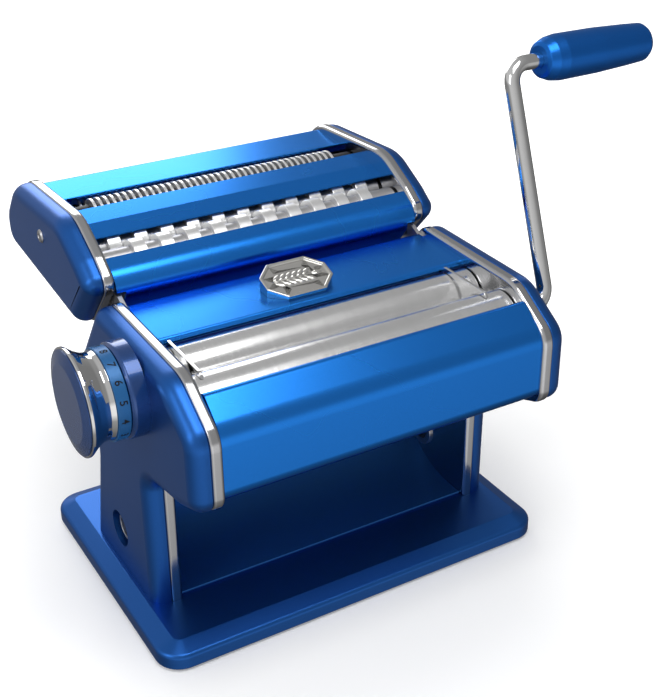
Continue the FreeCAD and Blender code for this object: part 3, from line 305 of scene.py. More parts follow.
def make_finishes():
    """Every finish of the machine, keyed by the record's material slot or a plain name."""
    c = colours()
    flake, turning, plating = make_flake_group(), make_turning_group(), make_plating_group()
    rim = (0.7, 0.85, 1.0, 1.0)
    FINISH["blue_sheet"] = finish("blue_sheet_lacquer", flake, 1.0, 0.0, Base=c.sheet_blue[:], Smooth=0.27, edge=rim)
    FINISH["blue_cover"] = finish("blue_cover_lacquer", flake, 0.90, 0.0, Base=c.cover_blue[:], Smooth=0.36)
    FINISH["blue_knob"] = finish("blue_knob_lacquer", flake, 0.6, 0.01, Base=c.knob_blue[:], Smooth=0.26,
                                 coat=0.7, coat_roughness=0.06, Flake_Depth=0.02, Flake_Scale=6000.0)
    FINISH["number_band"] = finish("number_band_enamel", flake, 0.30, 0.04, Base=c.band_blue[:], Smooth=0.35)
    FINISH["chrome"] = finish("chrome_plate", plating, 1.0, 0.02, Base=c.chrome[:], Smooth=0.05)
    FINISH["rim"] = finish("frame_plate", plating, 1.0, 0.02, Base=(0.50, 0.50, 0.51, 1), Smooth=0.13)
    FINISH["badge"] = finish("badge_plate", plating, 1.0, 0.05, Base=(0.72, 0.71, 0.68, 1), Smooth=0.12)
    FINISH["roller"] = finish("turned_aluminium", turning, 1.0, 0.05, Base=c.aluminium[:], Smooth=0.14,
                              bump_distance=0.00005)
    FINISH["steel"] = finish("plain_steel", turning, 1.0, 0.05, Base=(0.46, 0.46, 0.47, 1), Smooth=0.30,
                             bump_distance=0.00005)
    FINISH["gear"] = finish("moulded_nylon", flake, 0.0, 0.08, Base=c.nylon[:], Smooth=0.45, Flake_Depth=0.04)
    FINISH["bush"] = finish("bearing_plastic", flake, 0.0, 0.08, Base=c.rubber[:], Smooth=0.5, Flake_Depth=0.1)
    FINISH["rubber"] = finish("foot_rubber", flake, 0.0, 0.25, Base=c.rubber[:], Smooth=0.7, Flake_Depth=0.2)
    # Painted shade: the chute under the head gets a darker copy of the blue sheet lacquer.
    FINISH["blue_shaded_sheet"] = finish("blue_chute_lacquer_painted_shade", flake, 0.75, 0.05, Base=(0.03, 0.16, 0.5, 1), Smooth=0.36, edge=rim)
    FINISH["blue_grip"] = finish("blue_grip_lacquer", flake, 0.9, 0.05, Base=(0.012, 0.13, 0.50, 1), Smooth=0.33, edge=rim)
    FINISH["mirror"] = finish("mirror_chrome", plating, 1.0, 0.01, Base=c.chrome[:], Smooth=0.02)
    FINISH["ridges"] = finish("ridge_metal", turning, 0.9, 0.05, Base=(0.86, 0.86, 0.86, 1), Smooth=0.22,
                              bump_distance=0.00005)
    FINISH["groove"] = finish("groove_shadow", turning, 0.5, 0.05, Base=(0.016, 0.016, 0.018, 1), Smooth=0.45,
                              bump_distance=0.00005)
    FINISH["print"] = finish("printed_black", flake, 0.0, 0.02, Base=(0.003, 0.003, 0.004, 1), Smooth=0.9)


# ------------------------------------------------------------------------ surface helpers
def soften(points, closed=True, step=12.0):
    """Corner points (a, b, radius) in millimetres joined by tangent arcs.
    Each arc goes round centre = corner + bisector * radius / sin(half angle), in steps of at most
    step degrees; a corner with no radius stays a point.  Returns an n x 2 array in metres."""
    out = []
    count = len(points)
    for i, (a, b, radius) in enumerate(points):
        corner = np.array((a, b), float)
        if radius <= 0 or (not closed and i in (0, count - 1)):
            out.append(corner[None, :])
            continue
        before = np.array(points[i - 1][:2], float) - corner
        after = np.array(points[(i + 1) % count][:2], float) - corner
        before /= np.linalg.norm(before)
        after /= np.linalg.norm(after)
        half = math.acos(np.clip(before @ after, -1, 1)) / 2
        middle = before + after
        centre = corner + middle / np.linalg.norm(middle) * radius / math.sin(half)
        start = corner + before * radius / math.tan(half) - centre
        stop = corner + after * radius / math.tan(half) - centre
        first = math.atan2(start[1], start[0])
        sweep = (math.atan2(stop[1], stop[0]) - first + math.pi) % (2 * math.pi) - math.pi
        steps = max(2, int(abs(math.degrees(sweep)) / step) + 1)
        turn = first + sweep * np.linspace(0, 1, steps + 1)
        out.append(centre + radius * np.stack([np.cos(turn), np.sin(turn)], 1))
    return np.concatenate(out) * MM


def resample(line, spacing, closed=True):
    """Line with extra points so that no span is longer than spacing; its own points stay."""
    ends = np.roll(line, -1, 0) if closed else line[1:]
    starts = line if closed else line[:-1]
    out = []
    for a, b in zip(starts, ends):
        parts = max(1, int(math.ceil(np.linalg.norm(b - a) / spacing)))
        out.append(a + (b - a) * (np.arange(parts) / parts)[:, None])
    if not closed:
        out.append(line[-1:])
    return np.concatenate(out)


def inset(line, distance):
    """Closed counter-clockwise or clockwise outline moved inwards by distance along the mean of
    the two neighbouring edges' normals, lengthened to keep the walls parallel at corners."""
    edge = np.roll(line, -1, 0) - line
    edge /= np.linalg.norm(edge, axis=1)[:, None]
    area = np.sum(line[:, 0] * np.roll(line[:, 1], -1) - np.roll(line[:, 0], -1) * line[:, 1])
    normal = np.stack([-edge[:, 1], edge[:, 0]], 1) * np.sign(area)
    both = normal + np.roll(normal, 1, 0)
    both /= np.linalg.norm(both, axis=1)[:, None]
    return line + both * (distance / np.clip(np.sum(both * normal, 1), 0.5, 1))[:, None]


def grid_faces(rows, columns, closed_rows=False, closed_columns=True):
    """Quads of a rows x columns grid of vertices stored row by row."""
    r = np.arange(rows if closed_rows else rows - 1)
    c = np.arange(columns if closed_columns else columns - 1)
    r, c = np.meshgrid(r, c, indexing="ij")
    r2, c2 = (r + 1) % rows, (c + 1) % columns
    return np.stack([r * columns + c, r * columns + c2, r2 * columns + c2, r2 * columns + c], -1).reshape(-1, 4)


def make_mesh(name, vertices, faces, smooth_angle=32.0):
    """Mesh object at the origin from arrays; faces may be quads and n-gons.  Doubles are merged,
    normals turned outwards, and edges sharper than smooth_angle degrees stay crisp."""
    mesh = bpy.data.meshes.new(name)
    mesh.from_pydata(np.asarray(vertices).tolist(), [], [list(map(int, f)) for f in faces])
    work = bmesh.new()
    work.from_mesh(mesh)
    bmesh.ops.remove_doubles(work, verts=work.verts, dist=1e-7)
    bmesh.ops.dissolve_degenerate(work, edges=work.edges, dist=1e-7)
    bmesh.ops.recalc_face_normals(work, faces=work.faces)
    work.to_mesh(mesh)
    work.free()
    mesh.shade_smooth()
    mesh.set_sharp_from_angle(angle=math.radians(smooth_angle))
    piece = bpy.data.objects.new(name, mesh)
    bpy.context.scene.collection.objects.link(piece)
    return piece


def loft(name, rings, smooth_angle=32.0):
    """Closed shell through equal rings of points (each n x 3), with both end rings filled."""
    count, last = len(rings[0]), len(rings) - 1
    faces = [list(f) for f in grid_faces(len(rings), count)]
    faces += [list(range(count))[::-1], list(range(last * count, (last + 1) * count))]
    return make_mesh(name, np.concatenate(rings), faces, smooth_angle)


def join(name, pieces):
    """One object out of several, their meshes laid together."""
    work = bmesh.new()
    for piece in pieces:
        work.from_mesh(piece.data)
    mesh = bpy.data.meshes.new(name)
    work.to_mesh(mesh)
    work.free()
    mesh.shade_smooth()
    mesh.set_sharp_from_angle(angle=math.radians(32))
    for piece in pieces:
        old = piece.data
        bpy.data.objects.remove(piece)
        bpy.data.meshes.remove(old)
    whole = bpy.data.objects.new(name, mesh)
    bpy.context.scene.collection.objects.link(whole)
    return whole


def dress(piece, slot, body, *nodes):
    """Finish, body and the CAD nodes that a piece stands for."""
    piece.data.materials.clear()
    piece.data.materials.append(FINISH[slot])
    weights = piece.modifiers.new("weights", "WEIGHTED_NORMAL")
    weights.keep_sharp = True
    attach(piece, body)
    if nodes:
        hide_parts(*nodes)
    return piece


def turned_arrays(profile, axis, steps=None):
    """Grid of a profile (x, radius) turned about the line along X through axis (y, z):
    y = axis_y + radius * cos(turn), z = axis_z + radius * sin(turn)."""
    steps = steps or sizes().round_steps
    profile = np.asarray(profile, float)
    turn = np.arange(steps) * 2 * math.pi / steps
    x = np.repeat(profile[:, :1], steps, 1)
    y = axis[0] + profile[:, 1:] * np.cos(turn)
    z = axis[1] + profile[:, 1:] * np.sin(turn)
    return np.stack([x, y, z], -1).reshape(-1, 3), grid_faces(len(profile), steps)


def turned(name, points, axis, steps=None, smooth_angle=32.0, arc=9.0):
    """Closed turned piece: points are the (x, radius, rounding) of its half section in
    millimetres, starting and ending on the axis or closing on themselves."""
    line = soften(points, closed=points[0][1] > 0, step=arc)
    if points[0][1] > 0:
        line = np.concatenate([line, line[:1]])
    vertices, faces = turned_arrays(line, axis, steps)
    return make_mesh(name, vertices, faces, smooth_angle)


def prism(name, outline, x_from, x_to, edge=0.0, smooth_angle=32.0):
    """Closed outline in the YZ plane carried along X, with both end edges eased by a quarter
    round: at distance d from the end, inset = edge * (1 - sin(a)), d = edge * (1 - cos(a))."""
    ease = np.linspace(0, math.pi / 2, 4) if edge > 0 else np.array([math.pi / 2])
    rings, xs = [], []
    for sign, x_end in ((1, x_from), (-1, x_to)):
        part = [(x_end + sign * edge * (1 - math.cos(a)), edge * (1 - math.sin(a))) for a in ease[::sign]]
        for x, depth in part:
            rings.append(inset(outline, depth) if depth > 1e-9 else outline)
            xs.append(x)
    count = len(outline)
    vertices = np.concatenate([np.column_stack([np.full(count, x), ring]) for x, ring in zip(xs, rings)])
    faces = [list(f) for f in grid_faces(len(rings), count)]
    faces += [list(range(count))[::-1], list(range((len(rings) - 1) * count, len(rings) * count))]
    return make_mesh(name, vertices, faces, smooth_angle)


def sheet_outline(points, gauge, step=8.0):
    """Closed section of a bent sheet: its outer line, then the same line moved to the right-hand
    side by the gauge, with rounded edges at both ends."""
    line = soften(points, closed=False, step=step)
    along = np.gradient(line, axis=0)
    edge = np.diff(line, axis=0)
    edge /= np.linalg.norm(edge, axis=1)[:, None]
    right = np.stack([edge[:, 1], -edge[:, 0]], 1)
    both = np.concatenate([right[:1], right[:-1] + right[1:], right[-1:]])
    both /= np.linalg.norm(both, axis=1)[:, None]
    reach = np.concatenate([[1], np.clip(np.sum(both[1:-1] * right[1:], 1), 0.3, 1), [1]])
    inner = line + both * (gauge / reach)[:, None]
    nose = gauge * 0.22
    first, last = edge[0], edge[-1]
    start = np.array([inner[0] + (line[0] - inner[0]) * 0.25 - first * nose * 0,
                      inner[0] + (line[0] - inner[0]) * 0.75 - first * nose * 0])
    stop = np.array([line[-1] + (inner[-1] - line[-1]) * 0.25 + last * nose * 0,
                     line[-1] + (inner[-1] - line[-1]) * 0.75 + last * nose * 0])
    line, inner = line.copy(), inner.copy()
    line[0] += first * nose
    inner[0] += first * nose
    line[-1] -= last * nose
    inner[-1] -= last * nose
    return np.concatenate([line, stop, inner[::-1], start])


def strip(name, points, x_from, x_to, body, node=None, slot="blue_sheet"):
    outline = sheet_outline(points, sizes().sheet_gauge)
    piece = prism(name, outline, x_from, x_to)
    return dress(piece, slot, body, *([node] if node else []))


def cut_below(piece, height):
    """Cuts a piece flat at this height and closes the cut."""
    work = bmesh.new()
    work.from_mesh(piece.data)
    bmesh.ops.bisect_plane(work, geom=work.verts[:] + work.edges[:] + work.faces[:], plane_co=(0, 0, height),
                           plane_no=(0, 0, 1), clear_inner=True)
    open_edges = [e for e in work.edges if len(e.link_faces) == 1]
    bmesh.ops.holes_fill(work, edges=open_edges, sides=0)
    bmesh.ops.recalc_face_normals(work, faces=work.faces)
    work.to_mesh(piece.data)
    work.free()


def subtract(piece, *cutters):
    """Boolean difference of the piece and each cutter, applied; the cutters are removed."""
    for cutter in cutters:
        modifier = piece.modifiers.new("cut", "BOOLEAN")
        modifier.operation = "DIFFERENCE"
        modifier.solver = "EXACT"
        modifier.object = cutter
        bpy.context.view_layer.update()
        shape = bpy.data.meshes.new_from_object(piece.evaluated_get(bpy.context.evaluated_depsgraph_get()))
        piece.modifiers.clear()
        old = piece.data
        piece.data = shape
        bpy.data.meshes.remove(old)
        bpy.data.objects.remove(cutter)
    piece.data.shade_smooth()
    piece.data.set_sharp_from_angle(angle=math.radians(32))
    return piece


def mirror_x(piece, name):
    """Left-hand twin of a right-hand piece, its faces turned outwards again."""
    twin = bpy.data.objects.new(name, piece.data.copy())
    bpy.context.scene.collection.objects.link(twin)
    twin.data.transform(Matrix.Scale(-1, 4, (1, 0, 0)))
    twin.data.flip_normals()
    twin.data.set_sharp_from_angle(angle=math.radians(32))
    return twin


# --------------------------------------------------------------------------------- pieces
def cover_blank(name, corners, rounding):
    """Moulded cover, right-hand: the outline is carried out from the frame and its outer edge
    follows a quarter round, inset = r * (1 - cos(a)), x = face - r + r * sin(a)."""
    outline = resample(soften(corners, step=6.0), 4 * MM)
    start, face, gap = FRAME_OUTER, COVER_FACE, 0.5 * MM
    steps = [(start, gap + 0.5 * MM), (start + 0.5 * MM, gap)]
    steps += [(face - rounding + rounding * math.sin(a), gap + rounding * (1 - math.cos(a)))
              for a in np.linspace(0, math.pi / 2, 12)]
    rings = [np.column_stack([np.full(len(outline), x), inset(outline, depth)]) for x, depth in steps]
    return loft(name, rings)


def plug(axis, radius, x_from, x_to):
    """Throw-away round cutter along X."""
    return turned("cutter", [(x_from, 0, 0), (x_from, radius, 0), (x_to, radius, 0), (x_to, 0, 0)], axis, 64)


class PieceOperator:
    """Shared run of every piece operator: build, then report it finished."""
    bl_options = {"REGISTER", "UNDO"}

    def execute(self, context):
        self.build()
        return {"FINISHED"}


class PASTA_OT_finishes(PieceOperator, bpy.types.Operator):
    """Make the finishes and put them on the CAD nodes that stay"""
    bl_idname = "pasta.finishes"
    bl_label = "Finishes"

    def build(self):
        make_finishes()
        for name, piece in frame["nodes"].items():
            for holder in piece.material_slots:
                holder.material = FINISH[SLOT_OF[name]]


class PASTA_OT_covers(PieceOperator, bpy.types.Operator):
    """Build the two moulded side covers of the machine"""
    bl_idname = "pasta.covers"
    bl_label = "Side covers"

    def build(self):
        clamp = axis_of("clamp_sockets")
        right = cover_blank("cover_right_shell", HEAD_OUTLINE, sizes().cover_round)
        cut_below(right, BASE_TOP)
        left = mirror_x(right, "cover_left_shell")
        face = COVER_FACE / MM
        subtract(right, plug(clamp, 8.8, face - 7, face + 2), plug(FRONT_AXIS, 8.0, face - 7, face + 2))
        subtract(left, plug(clamp, 8.8, -face - 2, -face + 7))
        dress(right, "blue_cover", "machine", "side_cover_right")
        dress(left, "blue_cover", "machine", "side_cover_left")


class PASTA_OT_caps(PieceOperator, bpy.types.Operator):
    """Build the two moulded end caps of the cutter unit"""
    bl_idname = "pasta.caps"
    bl_label = "Cutter caps"

    def build(self):
        right = cover_blank("cap_right_shell", CUTTER_OUTLINE, sizes().cap_round)
        left = mirror_x(right, "cap_left_shell")
        face = COVER_FACE / MM
        subtract(right, *[plug(axis_of(node), 6.6, face - 6, face + 2) for node in ("wide_rear_gear", "fine_front_gear")])
        dress(right, "blue_cover", "cutter_unit", "cutter_cap_right")
        dress(left, "blue_cover", "cutter_unit", "cutter_cap_left")


class PASTA_OT_frames(PieceOperator, bpy.types.Operator):
    """Build the plated side frames of the machine and of the cutter unit"""
    bl_idname = "pasta.frames"
    bl_label = "Side frames"

    def build(self):
        past = (FRAME_INNER / MM - 2, FRAME_OUTER / MM + 2)
        standing = [(y, BASE_TOP / MM if z < 0 else z, r) for y, z, r in HEAD_OUTLINE]
        standing[-1] = (35.0, BASE_TOP / MM, 0.0)
        right = self.pan("frame_right_pan", standing)
        tools = [plug(FRONT_AXIS, 8.0, *past), plug(axis_of("clamp_sockets"), 6.4, *past),
                 self.window("carriage_window", REAR_AXIS + np.array((0.0007, 0)), 9.5, 7.25, past),
                 self.window("rod_window", axis_of("carriage_rod") + np.array((0.0007, 0)), 5.3, 2.9, past)]
        left = mirror_x(subtract(right, *tools), "frame_left_pan")
        dress(right, "rim", "machine", "side_frame_right")
        dress(left, "rim", "machine", "side_frame_left")
        right = self.pan("cutter_frame_right_pan", CUTTER_OUTLINE)
        cutters = ("wide_front_cutter", "wide_rear_cutter", "fine_front_cutter", "fine_rear_cutter")
        left = mirror_x(subtract(right, *[plug(axis_of(c), 6.0, *past) for c in cutters]), "cutter_frame_left_pan")
        dress(right, "rim", "cutter_unit", "cutter_frame_right")
        dress(left, "rim", "cutter_unit", "cutter_frame_left")

    def pan(self, name, corners):
        """Pressed pan: a web with a flange whose edges are rolled; the section runs from the web's
        outer face round the flange to the web's inner face as (x, inset) pairs."""
        outline = resample(soften(corners, step=5.0), 3 * MM)
        inner, outer = FRAME_INNER / MM, FRAME_OUTER / MM
        section = soften([(inner + 2.0, 2.4, 0), (outer, 2.4, 0.7), (outer, 0, 1.1), (inner, 0, 1.8), (inner, 2.4, 0)],
                         closed=False, step=15.0)
        return loft(name, [np.column_stack([np.full(len(outline), x), inset(outline, d)]) for x, d in section])

    def window(self, name, centre, half_y, half_z, past):
        """Throw-away rounded window cutter along X."""
        y, z = np.array(centre) / MM
        corners = [(y - half_y, z - half_z, 0.3), (y + half_y, z - half_z, 0.3), (y + half_y, z + half_z, 0.3),
                   (y - half_y, z + half_z, 0.3)]
        return prism(name, soften(corners), past[0] * MM, past[1] * MM)


class PASTA_OT_sheets(PieceOperator, bpy.types.Operator):
    """Build the bent sheets of the machine: hood, rear top and chute"""
    bl_idname = "pasta.sheets"
    bl_label = "Machine sheets"

    def build(self):
        reach = FRAME_INNER
        hood = [(-56.0, 84.8, 0), (-72.0, 88.2, 6.0), (-87.7, 95.0, 7.0), (-87.4, 125.0, 13.0), (-70.3, 139.4, 3.0),
                (-70.3, 131.0, 0)]
        strip("hood", hood, -reach, reach, "machine", "front_hood")
        top = [(-29.0, 136.1, 0), (-29.0, 138.6, 1.3), (6.5, 139.4, 5.0), (26.0, 113.0, 9.0), (33.8, 101.5, 6.0),
               (21.9, 74.8, 0)]
        piece = strip("rear_top", top, -reach, reach, "machine", "rear_top_sheet")
        notches = [prism("notch", soften([(2.0, 117.0, 0), (2.0, 142.0, 0), (36.0, 142.0, 0), (36.0, 117.0, 0)]),
                         side * reach - 2 * MM, side * reach + 2 * MM) for side in (-1, 1)]
        subtract(piece, *notches)
        rise = BASE_TOP / MM
        chute = [(-35.0, rise + 1.2, 0), (19.4, rise + 1.2, 44.0), (19.4, 108.0, 0)]
        # The chute takes the darker lacquer, painted shade under the head.
        strip("chute", chute, -reach, reach, "machine", "pasta_chute", "blue_shaded_sheet")


class PASTA_OT_decks(PieceOperator, bpy.types.Operator):
    """Build the three sheets of the cutter unit"""
    bl_idname = "pasta.decks"
    bl_label = "Cutter sheets"

    def build(self):
        reach = FRAME_INNER
        rear = [(82.0, 161.4, 0), (106.0, 162.6, 6.0), (120.6, 145.0, 10.0), (119.8, 131.0, 5.0), (111.0, 126.0, 0)]
        strip("rear_deck", rear, -reach, reach, "cutter_unit", "cutter_rear_sheet")
        middle = [(41.9, 156.5, 0), (51.5, 159.8, 2.6), (65.2, 161.6, 0)]
        strip("middle_deck", middle, -reach, reach, "cutter_unit", "cutter_middle_sheet")
        front = [(26.6, 120.8, 0), (9.9, 142.8, 8.0), (15.2, 151.6, 9.0), (24.4, 154.3, 0)]
        piece = strip("front_deck", front, -reach, reach, "cutter_unit", "cutter_front_sheet")
        square = [(0.0, 115.0, 0), (40.0, 115.0, 0), (40.0, 143.0, 0), (0.0, 143.0, 0)]
        subtract(piece, *[prism("relief", soften(square), side * 74.9 * MM - 2.3 * MM, side * 74.9 * MM + 2.3 * MM)
                          for side in (-1, 1)])


class PASTA_OT_base(PieceOperator, bpy.types.Operator):
    """Build the base pan and its four rubber feet"""
    bl_idname = "pasta.base"
    bl_label = "Base"

    def build(self):
        half_x, half_y = BASE_HIGH[0] / MM, BASE_HIGH[1] / MM
        low, top = BASE_LOW[2] / MM, BASE_HIGH[2] / MM
        plan = resample(soften([(-half_x, -half_y, 12.0), (half_x, -half_y, 12.0), (half_x, half_y, 12.0),
                                (-half_x, half_y, 12.0)], step=6.0), 12 * MM)
        section = [(10.0, top, 0), (8.0, top, 1.6), (0.0, top - 3.2, 2.4), (0.0, low, 0.8), (2.0, low, 0), (2.0, 5.1, 0),
                   (10.0, 5.1, 0), (10.0, top - 1.7, 0)]
        rings = [np.column_stack([inset(plan, d), np.full(len(plan), z)])
                 for d, z in soften(section, closed=False, step=12.0)]
        dress(loft("base_pan", rings), "blue_cover", "machine", "base_plate")
        dress(join("foot_set", [self.foot(sx * 81.0, sy * 51.0, top - 1.7) for sx in (-1, 1) for sy in (-1, 1)]),
              "rubber", "machine", "rubber_feet")

    def foot(self, x, y, high):
        """Rubber foot: rings of radius r(z) round an upright axis."""
        turn = np.arange(48) * 2 * math.pi / 48
        section = soften([(4.5, 0.6, 0), (4.9, 0.0, 0.3), (6.7, 0.0, 0.7), (7.5, high, 0)], closed=False)
        rings = [np.column_stack([x * MM + r * np.cos(turn), y * MM + r * np.sin(turn), np.full(48, z)])
                 for r, z in section]
        return loft("foot", rings)


class PASTA_OT_rollers(PieceOperator, bpy.types.Operator):
    """Build the two smooth rollers with their guards and bearings"""
    bl_idname = "pasta.rollers"
    bl_label = "Smooth rollers"

    def build(self):
        radius = ROLLER_RADIUS / MM
        gear = span("drive_gear")[1][0] / MM
        front = [(-78.9, 0, 0), (-78.9, 5.0, 0.3), (-76.3, 5.0, 0), (-76.3, radius, 0.6), (76.3, radius, 0.6),
                 (76.3, 5.0, 0), (gear, 5.0, 0.3), (gear, 3.55, 0), (78.4, 3.55, 0), (78.4, 0, 0)]
        dress(turned("front_barrel", front, FRONT_AXIS), "roller", "drive_roller", "front_roller")
        rear = [(-81.4, 0, 0), (-81.4, 5.0, 0.3), (-76.3, 5.0, 0), (-76.3, radius, 0.6), (76.3, radius, 0.6),
                (76.3, 5.0, 0), (gear, 5.0, 0.3), (gear, 0, 0)]
        dress(turned("rear_barrel", rear, REAR_AXIS), "roller", "adjustable_roller", "rear_roller")
        bush = [(0, 5.05, 0), (0, 8.0, 0.3), (2.4, 8.0, 0.3), (2.4, 5.05, 0)]
        inner = FRAME_INNER / MM
        bushes = [turned("bush", [(start + x, r, e) for x, r, e in bush], FRONT_AXIS, 48) for start in (inner, -inner - 2.4)]
        dress(join("front_bearings", bushes), "bush", "machine", "front_roller_bushes")
        self.guards(radius + 0.4)

    def guards(self, clear):
        """Upright plates at both ends of the nip, cut round the two rollers."""
        low, high = span("dough_guards")
        front, rear = FRONT_AXIS / MM, REAR_AXIS / MM
        outline = soften([(low[1] / MM, front[1], 0), (low[1] / MM, high[2] / MM, 3.0), (high[1] / MM, high[2] / MM, 1.0),
                          (high[1] / MM, front[1], 0)])
        plates = [prism("guard", outline, x * MM, (x + 1.4) * MM, 0.2 * MM) for x in (65.0, low[0] / MM)]
        plates = join("guard_plates", plates)
        ways = [plug((front[0] * MM, front[1] * MM), clear, -80, 80)]
        ways += [plug(((rear[0] + d) * MM, rear[1] * MM), clear, -80, 80) for d in (-1.4, 0.7, 2.8)]
        dress(subtract(plates, *ways), "chrome", "machine", "dough_guards")


class PASTA_OT_cutters(PieceOperator, bpy.types.Operator):
    """Build the four ridged cutting rollers and their bearings"""
    bl_idname = "pasta.cutters"
    bl_label = "Cutting rollers"

    def build(self):
        gear = span("wide_front_gear")[1][0] / MM
        for title, wide, counts in (("wide", 6.5, (10, 11)), ("fine", 1.625, (40, 41))):
            for place, count in zip(("front", "rear"), counts):
                node = "%s_%s_cutter" % (title, place)
                self.cutter(node, wide, count, gear, "%s_%s" % (title, place))
        bush = [(0, 4.05, 0), (0, 6.0, 0.3), (2.0, 6.0, 0.3), (2.0, 4.05, 0)]
        inner = FRAME_INNER / MM
        bushes = [turned("bush", [(start + x, r, e) for x, r, e in bush], axis_of("%s_%s_cutter" % (title, place)), 40)
                  for title in ("wide", "fine") for place in ("front", "rear") for start in (inner, -inner - 2.0)]
        dress(join("cutter_bearings", bushes), "bush", "cutter_unit", "cutter_bushes")

    def cutter(self, node, wide, count, gear, body):
        """Core with square ridges: ridge k is centred at x = (k - (count - 1) / 2) * 2 * wide and its
        tips are eased by a small chamfer."""
        tip, root, ease = 9.2, 6.5, min(0.25, wide * 0.12)
        middle = (np.arange(count) - (count - 1) / 2) * 2 * wide
        half = (wide - 0.2) / 2
        offsets = np.array([-half, -half, -half + ease, half - ease, half, half])
        heights = np.array([root, tip - ease, tip, tip, tip - ease, root])
        xs = (middle[:, None] + offsets).ravel()
        rs = np.tile(heights, count)
        ends = np.array([(-78.9, 0), (-78.9, 4.0), (-75.8, 4.0), (-75.8, root)])
        others = np.array([(75.8, root), (75.8, 4.0), (gear, 4.0), (gear, 0)])
        profile = np.concatenate([ends, np.column_stack([xs, rs]), others]) * MM
        axis = axis_of(node)
        piece = dress(make_mesh(node + "_ridged", *turned_arrays(profile, axis, 72)), "ridges", body, node)
        # Painted shade in the grooves: the sunk faces between the ridges get the near-black groove_shadow on the fine
        # cutters and the darker plain steel on the wide ones.
        piece.data.materials.append(FINISH["groove"] if wide < 3 else FINISH["steel"])
        centres = np.empty(len(piece.data.polygons) * 3)
        piece.data.polygons.foreach_get("center", centres)
        centres = centres.reshape(-1, 3)
        sunk = np.hypot(centres[:, 1] - axis[0], centres[:, 2] - axis[1]) < (root + 0.2) * MM
        piece.data.polygons.foreach_set("material_index", sunk.astype(np.int32))


